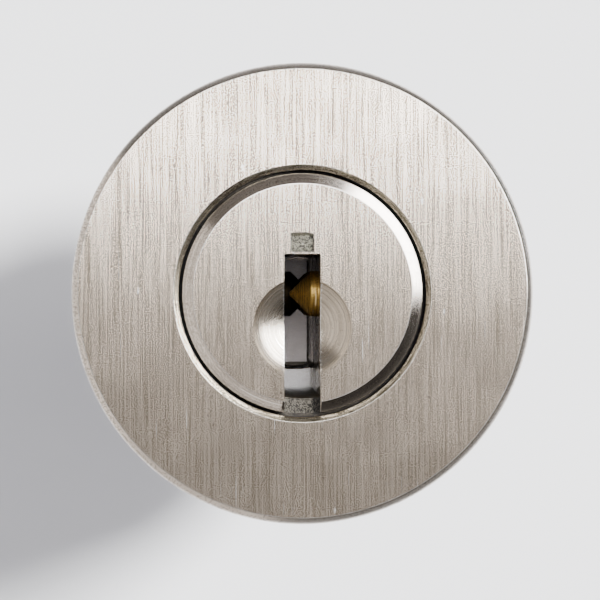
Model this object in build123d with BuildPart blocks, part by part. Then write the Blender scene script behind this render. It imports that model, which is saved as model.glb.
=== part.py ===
"""Round-bodied door lock cylinder with a dimple-key plug, side pin rows and a snap-off tail bar.

Millimetres. +Z runs out of the keyhole face, +Y is the closed top of the keyway, and +X is the right-hand
side seen from the front. The origin is the centre of the body's back face.
"""

import os
from math import asin, degrees, sqrt

from build123d import *

os.makedirs("parts", exist_ok=True)

# ---- driving dimensions ----

# body
BODY_DIAMETER = 28.0
BODY_LENGTH = 33.0
FRONT_EDGE = 0.35  # chamfer round the keyhole face
REAR_EDGE = 0.5
RUN_CLEARANCE = 0.04  # radial, between parts that turn or slide in each other
MOUTH_CHAMFER = 0.3  # mouth of the seat that takes the plug's head

# plug
PLUG_DIAMETER = 12.7
HEAD_LIP = 0.95  # how far the plug's head stands past its shank
HEAD_THICKNESS = 1.78
HEAD_CHAMFER = 0.63  # width of the head's chamfer, seen from the front
HEAD_CHAMFER_DEPTH = 0.29
HEAD_GAP = 0.2  # radial gap round the head
HEAD_PLAY = 0.02
THREAD_DIAMETER = 10.0  # rear end of the plug, for the tail cap
THREAD_LENGTH = 4.0  # how far the plug stands out of the body's back face
THREAD_CLEARANCE = 0.02

# keyway, its round lead-in and the notch that stops the key
KEYWAY_WIDTH = 2.2
KEYWAY_TOP = 2.4  # above the plug's axis; the slot is open at the bottom
DISH_DIAMETER = 6.0
DISH_DEPTH = 1.3
DISH_DROP = 2.07  # dish centre below the plug's axis
NOTCH_WIDTH = 1.45
NOTCH_HEIGHT = 1.28
NOTCH_DEPTH = 0.35
NOTCH_WEB = 0.1  # metal between the notch and the keyway

# pin stacks: one row from each side, the left row half a pitch behind the right one
PINS_PER_ROW = 5
NOSE_DIAMETER = 2.8  # part of a key pin that reaches into the keyway
COLLAR_DIAMETER = 3.2  # part of a key pin that rests on the ledge in the plug
COLLAR_LENGTH = 1.33
TIP_REACH = 0.7  # how far a key pin's tip passes the middle of the keyway
TIP_ROUND = 0.22
SPLIT_BELOW = 0.02  # top of a key pin below the plug's surface
SPLIT_ABOVE = 0.03  # foot of a driver pin above the bore's wall
DRIVER_FLOOR = 1.1  # solid foot of a cup-shaped driver pin
DRIVER_WALL = 0.45
END_ROOM = 0.9  # left behind a driver pin that is pushed right up
CHAMBER_PLUG_LENGTH = 1.7
PIN_EDGE = 0.15
LAST_PIN_MARGIN = 4.6  # last pin's centre from the back face

# springs
SPRING_WIRE = 0.28
SPRING_TURNS = 6
SPRING_CLEARANCE = 0.1  # radial, in the driver pin's cup
SPRING_END_GAP = 0.03

# hardened pins against drilling
GUARD_DEPTH = 2.8  # pin centres from the keyhole face
BODY_GUARD_DIAMETER = 2.0
BODY_GUARD_FOOT = -5.5  # height of the holes' lower ends
PLUG_GUARD_DIAMETER = 1.4
PLUG_GUARD_OFFSET = 3.2
PLUG_GUARD_FOOT = -3.0
GUARD_WEB = 0.4  # metal between neighbouring holes
BODY_GUARD_WEB = 0.8  # metal between the body's guard pin holes and the mouth of the head's seat

# fixing screws
SCREW_CORE_DIAMETER = 4.2  # M5 tapping size
SCREW_HOLE_DEPTH = 14.0
SCREW_HOLE_LEAD = 0.4

# washer and cap at the back
WASHER_THICKNESS = 0.8
WASHER_LIP = 0.65  # washer's rim past the plug's shank
WASHER_GAP = 0.2
AXIAL_GAP = 0.02
SEAT_DEPTH = 0.9  # recess for the washer in the back face
CAP_LIP = 0.55  # cap's wall past the plug's shank
CAP_FLOOR = 1.5
CAP_EDGE = 0.4

# tail bar
TAIL_LENGTH = 60.0
TAIL_WIDTH = 8.0
TAIL_THICKNESS = 1.6
TAIL_HEAD_WIDTH = 9.4
TAIL_HEAD_HEIGHT = 1.6
TAIL_HEAD_THICKNESS = 2.04  # hides the gap beside the bar in the cap's slot
TAIL_END_GAP = 0.12  # above and below the head
TAIL_SIDE_GAP = 0.17  # each side of the bar in the cap's slot, which lets the bar tilt
SNAP_PITCH = 5.0
SNAP_COUNT = 8
SNAP_DEPTH = 0.35
SNAP_END = 12.0  # last snap-off groove from the bar's tip

# sprung pin that locks the cap
LOCK_PIN_DIAMETER = 1.2
LOCK_PIN_OFFSET = 3.3
LOCK_PIN_GRIP = 1.6  # length of the pin inside the plug at rest
LOCK_PIN_TRAVEL = 1.6
LOCK_SPRING_WIRE = 0.16
LOCK_SPRING_TURNS = 6
LOCK_SPRING_ROOM = 1.0  # left when the pin is pushed right in

# cutting
OVERRUN = 1.0  # how far a cut runs on past the surface that it leaves by
NEAR = 0.001  # two sizes closer than this are the same

# ---- sizes that follow ----

body_r = BODY_DIAMETER / 2
shank_r = PLUG_DIAMETER / 2
bore_r = shank_r + RUN_CLEARANCE
head_r = shank_r + HEAD_LIP
head_seat_r = head_r + HEAD_GAP
head_back = BODY_LENGTH - HEAD_THICKNESS
thread_r = THREAD_DIAMETER / 2
washer_r = shank_r + WASHER_LIP
washer_seat_r = washer_r + WASHER_GAP
half_key = KEYWAY_WIDTH / 2

nose_r = NOSE_DIAMETER / 2
collar_r = COLLAR_DIAMETER / 2
nose_hole_r = nose_r + RUN_CLEARANCE
chamber_r = collar_r + RUN_CLEARANCE
key_pin_end = shank_r - SPLIT_BELOW
collar_foot = key_pin_end - COLLAR_LENGTH
driver_foot = bore_r + SPLIT_ABOVE
pin_lift = TIP_REACH + half_key
chamber_floor = body_r - CHAMBER_PLUG_LENGTH
driver_length = chamber_floor - driver_foot - pin_lift - END_ROOM

body_guard_r = BODY_GUARD_DIAMETER / 2
plug_guard_r = PLUG_GUARD_DIAMETER / 2
body_guard_offset = head_seat_r + MOUTH_CHAMFER + BODY_GUARD_WEB + body_guard_r
guard_z = BODY_LENGTH - GUARD_DEPTH
screw_r = SCREW_CORE_DIAMETER / 2
screw_offset = (washer_seat_r + body_r - REAR_EDGE) / 2

first_pin_z = guard_z - body_guard_r - GUARD_WEB - chamber_r
pin_step = (first_pin_z - LAST_PIN_MARGIN) / (2 * PINS_PER_ROW - 1)
pin_heights = {
    "right": [first_pin_z - 2 * i * pin_step for i in range(PINS_PER_ROW)],
    "left": [first_pin_z - (2 * i + 1) * pin_step for i in range(PINS_PER_ROW)],
}
side_signs = {"right": 1, "left": -1}

washer_top = SEAT_DEPTH - AXIAL_GAP
washer_foot = washer_top - WASHER_THICKNESS
cap_top = washer_foot - AXIAL_GAP
plug_end = -THREAD_LENGTH
tail_head_top = plug_end - TAIL_END_GAP
tail_head_foot = tail_head_top - TAIL_HEAD_HEIGHT
cap_inner_floor = tail_head_foot - TAIL_END_GAP
cap_foot = cap_inner_floor - CAP_FLOOR
cap_r = shank_r + CAP_LIP
tail_tip = tail_head_top - TAIL_LENGTH
lock_hole_r = LOCK_PIN_DIAMETER / 2 + RUN_CLEARANCE
lock_hole_top = plug_end + LOCK_PIN_GRIP + LOCK_PIN_TRAVEL + LOCK_SPRING_ROOM


def across(side, z):
    """Plane whose normal points outwards along a pin row, with its local x along +Z."""
    return Plane(origin=(0, 0, z), x_dir=(0, 0, 1), z_dir=(side_signs[side], 0, 0))


def along_pin(side, z):
    """Plane with its local x outwards along a pin and its local y along +Y, for turned profiles."""
    return Plane(origin=(0, 0, z), x_dir=(side_signs[side], 0, 0), z_dir=(0, 0, side_signs[side]))


# ---- body ----

with BuildPart() as housing:
    with BuildSketch(Plane.XZ):
        with BuildLine():
            Polyline(
                (washer_seat_r, 0),
                (body_r - REAR_EDGE, 0),
                (body_r, REAR_EDGE),
                (body_r, BODY_LENGTH - FRONT_EDGE),
                (body_r - FRONT_EDGE, BODY_LENGTH),
                (head_seat_r + MOUTH_CHAMFER, BODY_LENGTH),
                (head_seat_r, BODY_LENGTH - MOUTH_CHAMFER),
                (head_seat_r, head_back - HEAD_PLAY),
                (bore_r, head_back - HEAD_PLAY),
                (bore_r, SEAT_DEPTH),
                (washer_seat_r, SEAT_DEPTH),
                close=True,
            )
        make_face()
    revolve(axis=Axis.Z)
    for side, heights in pin_heights.items():
        for z in heights:
            with BuildSketch(across(side, z)):
                Circle(chamber_r)
            extrude(amount=body_r + OVERRUN, mode=Mode.SUBTRACT)
    with BuildSketch(Plane.XY):
        with Locations((0, screw_offset), (0, -screw_offset)):
            Circle(screw_r)
    extrude(amount=SCREW_HOLE_DEPTH, mode=Mode.SUBTRACT)
    screw_mouths = housing.edges().filter_by(GeomType.CIRCLE).filter_by(
        lambda e: abs(e.radius - screw_r) < NEAR and abs(e.center().Z) < NEAR
    )
    chamfer(screw_mouths, SCREW_HOLE_LEAD)
    with BuildSketch(Plane.XZ.offset(-BODY_GUARD_FOOT)):
        with Locations((body_guard_offset, guard_z), (-body_guard_offset, guard_z)):
            Circle(body_guard_r)
    extrude(amount=-(body_r - BODY_GUARD_FOOT), mode=Mode.SUBTRACT)
housing.part.label = "housing"
export_step(housing.part, "parts/housing.step")

with BuildPart() as housing_guard_pins:
    with BuildSketch(Plane.XZ.offset(-BODY_GUARD_FOOT)):
        with Locations((body_guard_offset, guard_z), (-body_guard_offset, guard_z)):
            Circle(body_guard_r)
    extrude(amount=-(body_r - BODY_GUARD_FOOT))
    with BuildSketch(Plane.XY):
        Circle(body_r)
    extrude(amount=BODY_LENGTH, mode=Mode.INTERSECT)
housing_guard_pins.part.label = "housing_guard_pins"
export_step(housing_guard_pins.part, "parts/housing_guard_pins.step")

# ---- plug ----

with BuildPart() as plug:
    with BuildSketch(Plane.XZ):
        with BuildLine():
            Polyline(
                (0, plug_end),
                (thread_r - REAR_EDGE, plug_end),
                (thread_r, plug_end + REAR_EDGE),
                (thread_r, washer_top + AXIAL_GAP),
                (shank_r, washer_top + AXIAL_GAP),
                (shank_r, head_back),
                (head_r, head_back),
                (head_r, BODY_LENGTH - HEAD_CHAMFER_DEPTH),
                (head_r - HEAD_CHAMFER, BODY_LENGTH),
                (0, BODY_LENGTH),
                close=True,
            )
        make_face()
    revolve(axis=Axis.Z)
    # keyway, open at the bottom
    with BuildSketch(Plane.XY.offset(plug_end)):
        with Locations((0, KEYWAY_TOP)):
            Rectangle(KEYWAY_WIDTH, KEYWAY_TOP + head_r + OVERRUN, align=(Align.CENTER, Align.MAX))
    extrude(amount=BODY_LENGTH - plug_end, mode=Mode.SUBTRACT)
    # round lead-in
    dish_ball = ((DISH_DIAMETER / 2) ** 2 + DISH_DEPTH**2) / (2 * DISH_DEPTH)
    with Locations((0, -DISH_DROP, BODY_LENGTH - DISH_DEPTH + dish_ball)):
        Sphere(dish_ball, mode=Mode.SUBTRACT)
    # notch for the key's stop
    with BuildSketch(Plane.XY.offset(BODY_LENGTH)):
        with Locations((0, KEYWAY_TOP + NOTCH_WEB)):
            Rectangle(NOTCH_WIDTH, NOTCH_HEIGHT, align=(Align.CENTER, Align.MIN))
    extrude(amount=-NOTCH_DEPTH, mode=Mode.SUBTRACT)
    # stepped pin holes
    for side, heights in pin_heights.items():
        for z in heights:
            with BuildSketch(across(side, z)):
                Circle(nose_hole_r)
            extrude(amount=shank_r + OVERRUN, mode=Mode.SUBTRACT)
            with BuildSketch(across(side, z).offset(collar_foot - SPLIT_BELOW)):
                Circle(chamber_r)
            extrude(amount=shank_r, mode=Mode.SUBTRACT)
    with BuildSketch(Plane.XZ.offset(-PLUG_GUARD_FOOT)):
        with Locations((PLUG_GUARD_OFFSET, guard_z), (-PLUG_GUARD_OFFSET, guard_z)):
            Circle(plug_guard_r)
    extrude(amount=-(shank_r - PLUG_GUARD_FOOT), mode=Mode.SUBTRACT)
    with BuildSketch(Plane.XY.offset(plug_end)):
        with Locations((LOCK_PIN_OFFSET, 0)):
            Circle(lock_hole_r)
    extrude(amount=lock_hole_top - plug_end, mode=Mode.SUBTRACT)
plug.part.label = "plug"
export_step(plug.part, "parts/plug.step")

with BuildPart() as plug_guard_pins:
    with BuildSketch(Plane.XZ.offset(-PLUG_GUARD_FOOT)):
        with Locations((PLUG_GUARD_OFFSET, guard_z), (-PLUG_GUARD_OFFSET, guard_z)):
            Circle(plug_guard_r)
    extrude(amount=-(shank_r - PLUG_GUARD_FOOT))
    with BuildSketch(Plane.XY):
        Circle(shank_r)
    extrude(amount=BODY_LENGTH, mode=Mode.INTERSECT)
plug_guard_pins.part.label = "plug_guard_pins"
export_step(plug_guard_pins.part, "parts/plug_guard_pins.step")

# ---- pin stacks ----

# a key pin's round tip runs into a 90 degree cone, and its outer end is a shallow dome
round_leg = TIP_ROUND * sqrt(0.5)
cone_start = (-TIP_REACH + TIP_ROUND - round_leg, round_leg)
cone_end = (cone_start[0] + nose_r - round_leg, nose_r)
dome_edge = (key_pin_end - PIN_EDGE, collar_r - 2 * PIN_EDGE)

for side, heights in pin_heights.items():
    # pressed plugs that close the pin chambers, turned flush with the body
    with BuildPart() as chamber_plugs:
        for z in heights:
            with BuildSketch(across(side, z).offset(chamber_floor)):
                Circle(chamber_r)
            extrude(amount=CHAMBER_PLUG_LENGTH + OVERRUN)
        with BuildSketch(Plane.XY):
            Circle(body_r)
        extrude(amount=BODY_LENGTH, mode=Mode.INTERSECT)
    name = f"chamber_plugs_{side}"
    chamber_plugs.part.label = name
    export_step(chamber_plugs.part, f"parts/{name}.step")

    for number, z in enumerate(heights, start=1):
        with BuildPart() as key_pin:
            with BuildSketch(along_pin(side, z)):
                with BuildLine():
                    TangentArc((-TIP_REACH, 0), cone_start, tangent=(0, 1))
                    Polyline(
                        cone_start,
                        cone_end,
                        (collar_foot, nose_r),
                        (collar_foot, collar_r),
                        (key_pin_end - 3 * PIN_EDGE, collar_r),
                        dome_edge,
                    )
                    TangentArc((key_pin_end, 0), dome_edge, tangent=(0, 1))
                    Line((key_pin_end, 0), (-TIP_REACH, 0))
                make_face()
            revolve(axis=Axis((0, 0, z), (1, 0, 0)))
        name = f"key_pin_{side}_{number}"
        key_pin.part.label = name
        export_step(key_pin.part, f"parts/{name}.step")

        cup_floor = driver_foot + DRIVER_FLOOR
        cup_r = collar_r - DRIVER_WALL
        with BuildPart() as driver_pin:
            with BuildSketch(along_pin(side, z)):
                with BuildLine():
                    Polyline(
                        (driver_foot, 0),
                        (driver_foot, collar_r - PIN_EDGE),
                        (driver_foot + PIN_EDGE, collar_r),
                        (driver_foot + driver_length - PIN_EDGE, collar_r),
                        (driver_foot + driver_length, collar_r - PIN_EDGE),
                        (driver_foot + driver_length, cup_r),
                        (cup_floor, cup_r),
                        (cup_floor, 0),
                        close=True,
                    )
                make_face()
            revolve(axis=Axis((0, 0, z), (1, 0, 0)))
        name = f"driver_pin_{side}_{number}"
        driver_pin.part.label = name
        export_step(driver_pin.part, f"parts/{name}.step")

        # open coil spring between the driver pin's cup and the chamber plug
        coil_r = cup_r - SPRING_CLEARANCE - SPRING_WIRE / 2
        coil_start = cup_floor + SPRING_END_GAP + SPRING_WIRE / 2
        coil_length = chamber_floor - SPRING_END_GAP - SPRING_WIRE / 2 - coil_start
        with BuildPart() as spring:
            with BuildLine() as coil:
                Helix(
                    pitch=coil_length / SPRING_TURNS,
                    height=coil_length,
                    radius=coil_r,
                    center=(side_signs[side] * coil_start, 0, z),
                    direction=(side_signs[side], 0, 0),
                )
            with BuildSketch(Plane(origin=coil.line @ 0, z_dir=coil.line % 0)):
                Circle(SPRING_WIRE / 2)
            sweep(is_frenet=True)
        name = f"spring_{side}_{number}"
        spring.part.label = name
        export_step(spring.part, f"parts/{name}.step")

# ---- washer, cap and tail bar ----

with BuildPart() as thrust_washer:
    with BuildSketch(Plane.XY.offset(washer_foot)):
        Circle(washer_r)
        Circle(thread_r + THREAD_CLEARANCE, mode=Mode.SUBTRACT)
    extrude(amount=WASHER_THICKNESS)
thrust_washer.part.label = "thrust_washer"
export_step(thrust_washer.part, "parts/thrust_washer.step")

with BuildPart() as tail_cap:
    with BuildSketch(Plane.XZ):
        with BuildLine():
            Polyline(
                (0, cap_foot),
                (cap_r - CAP_EDGE, cap_foot),
                (cap_r, cap_foot + CAP_EDGE),
                (cap_r, cap_top),
                (thread_r + THREAD_CLEARANCE, cap_top),
                (thread_r + THREAD_CLEARANCE, cap_inner_floor),
                (0, cap_inner_floor),
                close=True,
            )
        make_face()
    revolve(axis=Axis.Z)
    with BuildSketch(Plane.XY.offset(cap_foot)):
        Rectangle(TAIL_THICKNESS + 2 * TAIL_SIDE_GAP, TAIL_WIDTH + 2 * TAIL_SIDE_GAP)
        with Locations((LOCK_PIN_OFFSET, 0)):
            Circle(lock_hole_r)
    extrude(amount=CAP_FLOOR, mode=Mode.SUBTRACT)
tail_cap.part.label = "tail_cap"
export_step(tail_cap.part, "parts/tail_cap.step")

with BuildPart() as tail_bar:
    with BuildSketch(Plane.YZ.offset(-TAIL_THICKNESS / 2)):
        with Locations((0, tail_head_top)):
            Rectangle(TAIL_WIDTH, TAIL_LENGTH, align=(Align.CENTER, Align.MAX))
    extrude(amount=TAIL_THICKNESS)
    with BuildSketch(Plane.XY.offset(tail_head_foot)):
        Rectangle(TAIL_HEAD_THICKNESS, TAIL_HEAD_WIDTH)
    extrude(amount=TAIL_HEAD_HEIGHT)
    # grooves on both faces where the bar is snapped to length
    with BuildSketch(Plane.XZ.offset(-TAIL_WIDTH / 2)):
        for i in range(SNAP_COUNT):
            groove_z = tail_tip + SNAP_END + i * SNAP_PITCH
            for way in (1, -1):
                face_x = way * TAIL_THICKNESS / 2
                with BuildLine():
                    Polyline(
                        (face_x - way * SNAP_DEPTH, groove_z),
                        (face_x, groove_z + SNAP_DEPTH),
                        (face_x, groove_z - SNAP_DEPTH),
                        close=True,
                    )
                make_face()
    extrude(amount=TAIL_WIDTH, mode=Mode.SUBTRACT)
tail_bar.part.label = "tail_bar"
export_step(tail_bar.part, "parts/tail_bar.step")

# ---- sprung pin that locks the cap ----

with BuildPart() as cap_lock_pin:
    with BuildSketch(Plane.XY.offset(cap_foot)):
        with Locations((LOCK_PIN_OFFSET, 0)):
            Circle(LOCK_PIN_DIAMETER / 2)
    extrude(amount=plug_end + LOCK_PIN_GRIP - cap_foot)
    chamfer(cap_lock_pin.faces().sort_by(Axis.Z)[0].edges(), PIN_EDGE)
cap_lock_pin.part.label = "cap_lock_pin"
export_step(cap_lock_pin.part, "parts/cap_lock_pin.step")

lock_coil_r = lock_hole_r - RUN_CLEARANCE - LOCK_SPRING_WIRE / 2
lock_coil_start = plug_end + LOCK_PIN_GRIP + SPRING_END_GAP + LOCK_SPRING_WIRE / 2
lock_coil_length = lock_hole_top - SPRING_END_GAP - LOCK_SPRING_WIRE / 2 - lock_coil_start
with BuildPart() as cap_lock_spring:
    with BuildLine() as lock_coil:
        Helix(
            pitch=lock_coil_length / LOCK_SPRING_TURNS,
            height=lock_coil_length,
            radius=lock_coil_r,
            center=(LOCK_PIN_OFFSET, 0, lock_coil_start),
        )
    with BuildSketch(Plane(origin=lock_coil.line @ 0, z_dir=lock_coil.line % 0)):
        Circle(LOCK_SPRING_WIRE / 2)
    sweep(is_frenet=True)
cap_lock_spring.part.label = "cap_lock_spring"
export_step(cap_lock_spring.part, "parts/cap_lock_spring.step")

print(f"pin lift {pin_lift:.3f}, row pitch {2 * pin_step:.3f}, driver length {driver_length:.3f}")
print(f"first pin {BODY_LENGTH - first_pin_z:.3f} behind the face, screw spacing {2 * screw_offset:.3f}")
tail_pivot = (tail_head_top + tail_head_foot) / 2
tail_tilt = degrees(asin(TAIL_SIDE_GAP / (tail_pivot - cap_foot)))
print(f"tail tip at {tail_tip:.2f}, tail pivot at {tail_pivot:.2f}, tilt up to {tail_tilt:.2f} degrees")
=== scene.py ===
"""Finished look of the round-bodied door lock cylinder.

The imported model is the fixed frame: metres, +Z out of the keyhole face, +Y at the closed top of the keyway and
+X to the right seen from the front. Each sub-assembly is a class that builds its meshes and dresses them.
"""

import logging
import math
import random
from collections.abc import Callable, Iterable
from dataclasses import dataclass, field
from enum import Enum, IntEnum

import bmesh
import bpy
from mathutils import Matrix, Vector


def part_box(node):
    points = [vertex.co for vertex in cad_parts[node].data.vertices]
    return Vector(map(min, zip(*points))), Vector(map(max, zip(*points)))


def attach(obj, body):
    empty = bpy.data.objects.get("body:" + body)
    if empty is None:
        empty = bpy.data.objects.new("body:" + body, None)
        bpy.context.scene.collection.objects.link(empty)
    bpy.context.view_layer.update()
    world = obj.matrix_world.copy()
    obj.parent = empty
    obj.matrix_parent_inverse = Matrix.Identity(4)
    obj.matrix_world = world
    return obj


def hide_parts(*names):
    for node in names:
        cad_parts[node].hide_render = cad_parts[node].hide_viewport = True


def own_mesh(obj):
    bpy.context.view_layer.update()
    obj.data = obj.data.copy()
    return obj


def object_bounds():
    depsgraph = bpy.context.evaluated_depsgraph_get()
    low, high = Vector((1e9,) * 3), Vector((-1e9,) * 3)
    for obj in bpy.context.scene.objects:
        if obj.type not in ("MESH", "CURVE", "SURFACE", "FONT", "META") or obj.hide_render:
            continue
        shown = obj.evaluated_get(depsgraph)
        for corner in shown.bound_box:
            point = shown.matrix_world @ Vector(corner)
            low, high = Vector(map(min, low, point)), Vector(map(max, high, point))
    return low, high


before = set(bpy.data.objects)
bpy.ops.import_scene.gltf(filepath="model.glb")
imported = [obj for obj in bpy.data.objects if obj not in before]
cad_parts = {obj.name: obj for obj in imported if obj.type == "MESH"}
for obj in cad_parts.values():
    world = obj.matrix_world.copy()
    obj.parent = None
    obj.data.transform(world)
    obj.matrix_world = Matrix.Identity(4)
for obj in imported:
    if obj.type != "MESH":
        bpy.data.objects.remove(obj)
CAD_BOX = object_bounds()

LOG = logging.getLogger("lock_cylinder")
MM = 0.001

Point2 = tuple[float, float]
Point3 = tuple[float, float, float]
Colour = tuple[float, float, float]
Region = Callable[[Vector, Vector], int]
Socket = bpy.types.NodeSocket
Tree = bpy.types.NodeTree
Mesh = bmesh.types.BMesh


class Side(Enum):
    """Which side a pin row comes from, with the sign of its outward direction along X."""

    RIGHT = 1
    LEFT = -1

    @property
    def word(self) -> str:
        """The side's word in node names."""
        return self.name.lower()


class Grain(Enum):
    """Direction of the tool marks on a metal surface."""

    UPRIGHT = "lines along Y, as on the brushed faces"
    TURNED = "rings round the mapped Z axis, as a lathe leaves them"
    BROACHED = "lines along Z, as down the keyway"
    CAST = "no direction, a fine even tooth"


# ---- shader groups ----


class NodeSheet:
    """A node tree with short calls for adding and linking nodes."""

    def __init__(self, tree: Tree) -> None:
        """Keeps the tree.

        Args:
            tree: The node tree that is written.
        """
        self.tree = tree

    def node(self, kind: str, values: dict | None = None, **settings: object) -> bpy.types.Node:
        """Adds one node.

        Args:
            kind: The node's type name.
            values: Input name or number to a value, or to a socket to link from.
            **settings: Attributes set on the node before its inputs.

        Returns:
            The new node.
        """
        made = self.tree.nodes.new(kind)
        for key, value in settings.items():
            setattr(made, key, value)
        for key, value in (values or {}).items():
            if isinstance(value, Socket):
                self.tree.links.new(value, made.inputs[key])
            else:
                made.inputs[key].default_value = value
        return made

    def maths(self, operation: str, *values: object, clamp: bool = False) -> Socket:
        """Adds a Math node.

        Args:
            operation: The Math node's operation.
            *values: Its inputs, as numbers or sockets.
            clamp: Whether the result is held between 0 and 1.

        Returns:
            The result socket.
        """
        made = self.node("ShaderNodeMath", dict(enumerate(values)), operation=operation, use_clamp=clamp)
        return made.outputs[0]

    def vectors(self, operation: str, *values: object) -> bpy.types.Node:
        """Adds a Vector Math node.

        Args:
            operation: The node's operation.
            *values: Its inputs, as vectors or sockets.

        Returns:
            The new node.
        """
        return self.node("ShaderNodeVectorMath", dict(enumerate(values)), operation=operation)

    def split(self, vector: Socket) -> tuple[Socket, Socket]:
        """Parts a vector into its flat part in XY and its height.

        Args:
            vector: Socket to part.

        Returns:
            The flat vector's socket and the Z socket.
        """
        parts = self.node("ShaderNodeSeparateXYZ", {0: vector})
        flat = self.node("ShaderNodeCombineXYZ", {0: parts.outputs[0], 1: parts.outputs[1]})
        return flat.outputs[0], parts.outputs[2]

    def ramp(self, value: object, low: float, high: float, to_low: float = 0.0, to_high: float = 1.0,
             smooth: bool = True) -> Socket:
        """Maps a value from one span to another and holds it there.

        Args:
            value: Socket to map.
            low: Start of the incoming span.
            high: End of the incoming span.
            to_low: Result at the start.
            to_high: Result at the end.
            smooth: Whether the ramp eases at both ends.

        Returns:
            The result socket.
        """
        kind = "SMOOTHSTEP" if smooth else "LINEAR"
        made = self.node("ShaderNodeMapRange", {0: value, 1: low, 2: high, 3: to_low, 4: to_high},
                         interpolation_type=kind)
        return made.outputs[0]

    def noise(self, vector: Socket, scale: float, detail: float = 4.0,
              roughness: float = 0.6) -> Socket:
        """Adds a noise texture.

        Args:
            vector: Coordinates.
            scale: Noise scale.
            detail: Number of finer layers.
            roughness: Strength of the finer layers.

        Returns:
            The Fac socket.
        """
        return self.node("ShaderNodeTexNoise", {"Vector": vector, "Scale": scale, "Detail": detail,
                                                "Roughness": roughness}).outputs[0]

    def blend(self, factor: object, first: object, second: object, how: str = "MIX") -> Socket:
        """Mixes two colours.

        Args:
            factor: Share of the second colour.
            first: First colour or socket.
            second: Second colour or socket.
            how: Blend type.

        Returns:
            The colour socket.
        """
        made = self.tree.nodes.new("ShaderNodeMix")
        made.data_type = "RGBA"
        made.blend_type = how
        for place, value in ((0, factor), (6, first), (7, second)):
            if isinstance(value, Socket):
                self.tree.links.new(value, made.inputs[place])
            elif place == 0:
                made.inputs[place].default_value = value
            else:
                made.inputs[place].default_value = (*value, 1.0)
        return made.outputs[2]


def shader_group(name: str, inputs: dict[str, tuple[str, object]], outputs: dict[str, str],
                 fill: Callable[[NodeSheet, bpy.types.Node], dict[str, Socket]]) -> Tree:
    """Builds a shader node group once and returns it after that.

    Args:
        name: Name of the group.
        inputs: Input name to its socket type and default value.
        outputs: Output name to its socket type.
        fill: Adds the nodes and returns the socket for each output.

    Returns:
        The node group.
    """
    if name in bpy.data.node_groups:
        return bpy.data.node_groups[name]
    tree = bpy.data.node_groups.new(name, "ShaderNodeTree")
    for key, (kind, value) in inputs.items():
        made = tree.interface.new_socket(name=key, in_out="INPUT", socket_type=kind)
        if value is not None:
            made.default_value = value
    for key, kind in outputs.items():
        tree.interface.new_socket(name=key, in_out="OUTPUT", socket_type=kind)
    sheet = NodeSheet(tree)
    results = fill(sheet, tree.nodes.new("NodeGroupInput"))
    end = tree.nodes.new("NodeGroupOutput")
    for key, result in results.items():
        tree.links.new(result, end.inputs[key])
    return tree


def lathe_coordinates() -> Tree:
    """Group that turns a position into coordinates across and along lathe marks, with no seam.

    Returns:
        The node group.
    """
    height_share = 0.4

    def fill(sheet: NodeSheet, start: bpy.types.Node) -> dict[str, Socket]:
        """Adds the group's nodes.

        Args:
            sheet: The group's nodes.
            start: The group's input node.

        Returns:
            Output name to its socket.
        """
        flat, height = sheet.split(start.outputs["Vector"])
        radius = sheet.vectors("LENGTH", flat).outputs["Value"]
        way = sheet.node("ShaderNodeSeparateXYZ", {0: sheet.vectors("NORMALIZE", flat).outputs["Vector"]})
        across = sheet.maths("ADD", radius, sheet.maths("MULTIPLY", height, height_share))
        reach = [sheet.maths("MULTIPLY", way.outputs[i], start.outputs["Reach"]) for i in (0, 1)]
        made = sheet.node("ShaderNodeCombineXYZ", {0: across, 1: reach[0], 2: reach[1]})
        return {"Vector": made.outputs[0]}

    return shader_group("lathe_coordinates",
                        {"Vector": ("NodeSocketVector", None), "Reach": ("NodeSocketFloat", 0.01)},
                        {"Vector": "NodeSocketVector"}, fill)


def tool_marks() -> Tree:
    """Group for brush or tool marks: lines that are fine across X and long along Y, with an even grit.

    Returns:
        The node group.
    """

    def fill(sheet: NodeSheet, start: bpy.types.Node) -> dict[str, Socket]:
        """Adds the group's nodes.

        Args:
            sheet: The group's nodes.
            start: The group's input node.

        Returns:
            Output name to its socket.
        """
        place = start.outputs["Vector"]
        scale = sheet.node("ShaderNodeCombineXYZ", {0: start.outputs["Across"], 1: start.outputs["Along"],
                                                    2: start.outputs["Along"]})
        spread = sheet.vectors("MULTIPLY", place, scale.outputs[0]).outputs["Vector"]
        # Coordinates, scale, detail, roughness and share of each layer: fine, broad and long lines, then grit.
        layers = ((spread, 1.0, 2.0, 0.6, 0.40), (spread, 0.33, 2.0, 0.5, 0.10), (spread, 0.11, 2.0, 0.5, 0.08),
                  (place, 15000.0, 0.0, 0.5, 0.42))
        parts = [sheet.maths("MULTIPLY", sheet.noise(*layer[:4]), layer[4]) for layer in layers]
        total = parts[0]
        for part in parts[1:]:
            total = sheet.maths("ADD", total, part)
        tone = sheet.ramp(total, 0.469, 0.531, smooth=False)
        scratch = sheet.ramp(sheet.noise(spread, 0.9, 1.0, 0.4), 0.75, 0.80)
        height = sheet.maths("SUBTRACT", total, sheet.maths("MULTIPLY", scratch, 0.25))
        return {"Tone": tone, "Scratch": scratch, "Height": height}

    return shader_group("tool_marks", {"Vector": ("NodeSocketVector", None), "Across": ("NodeSocketFloat", 1.0),
                                       "Along": ("NodeSocketFloat", 1.0)},
                        dict.fromkeys(("Tone", "Scratch", "Height"), "NodeSocketFloat"), fill)


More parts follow.
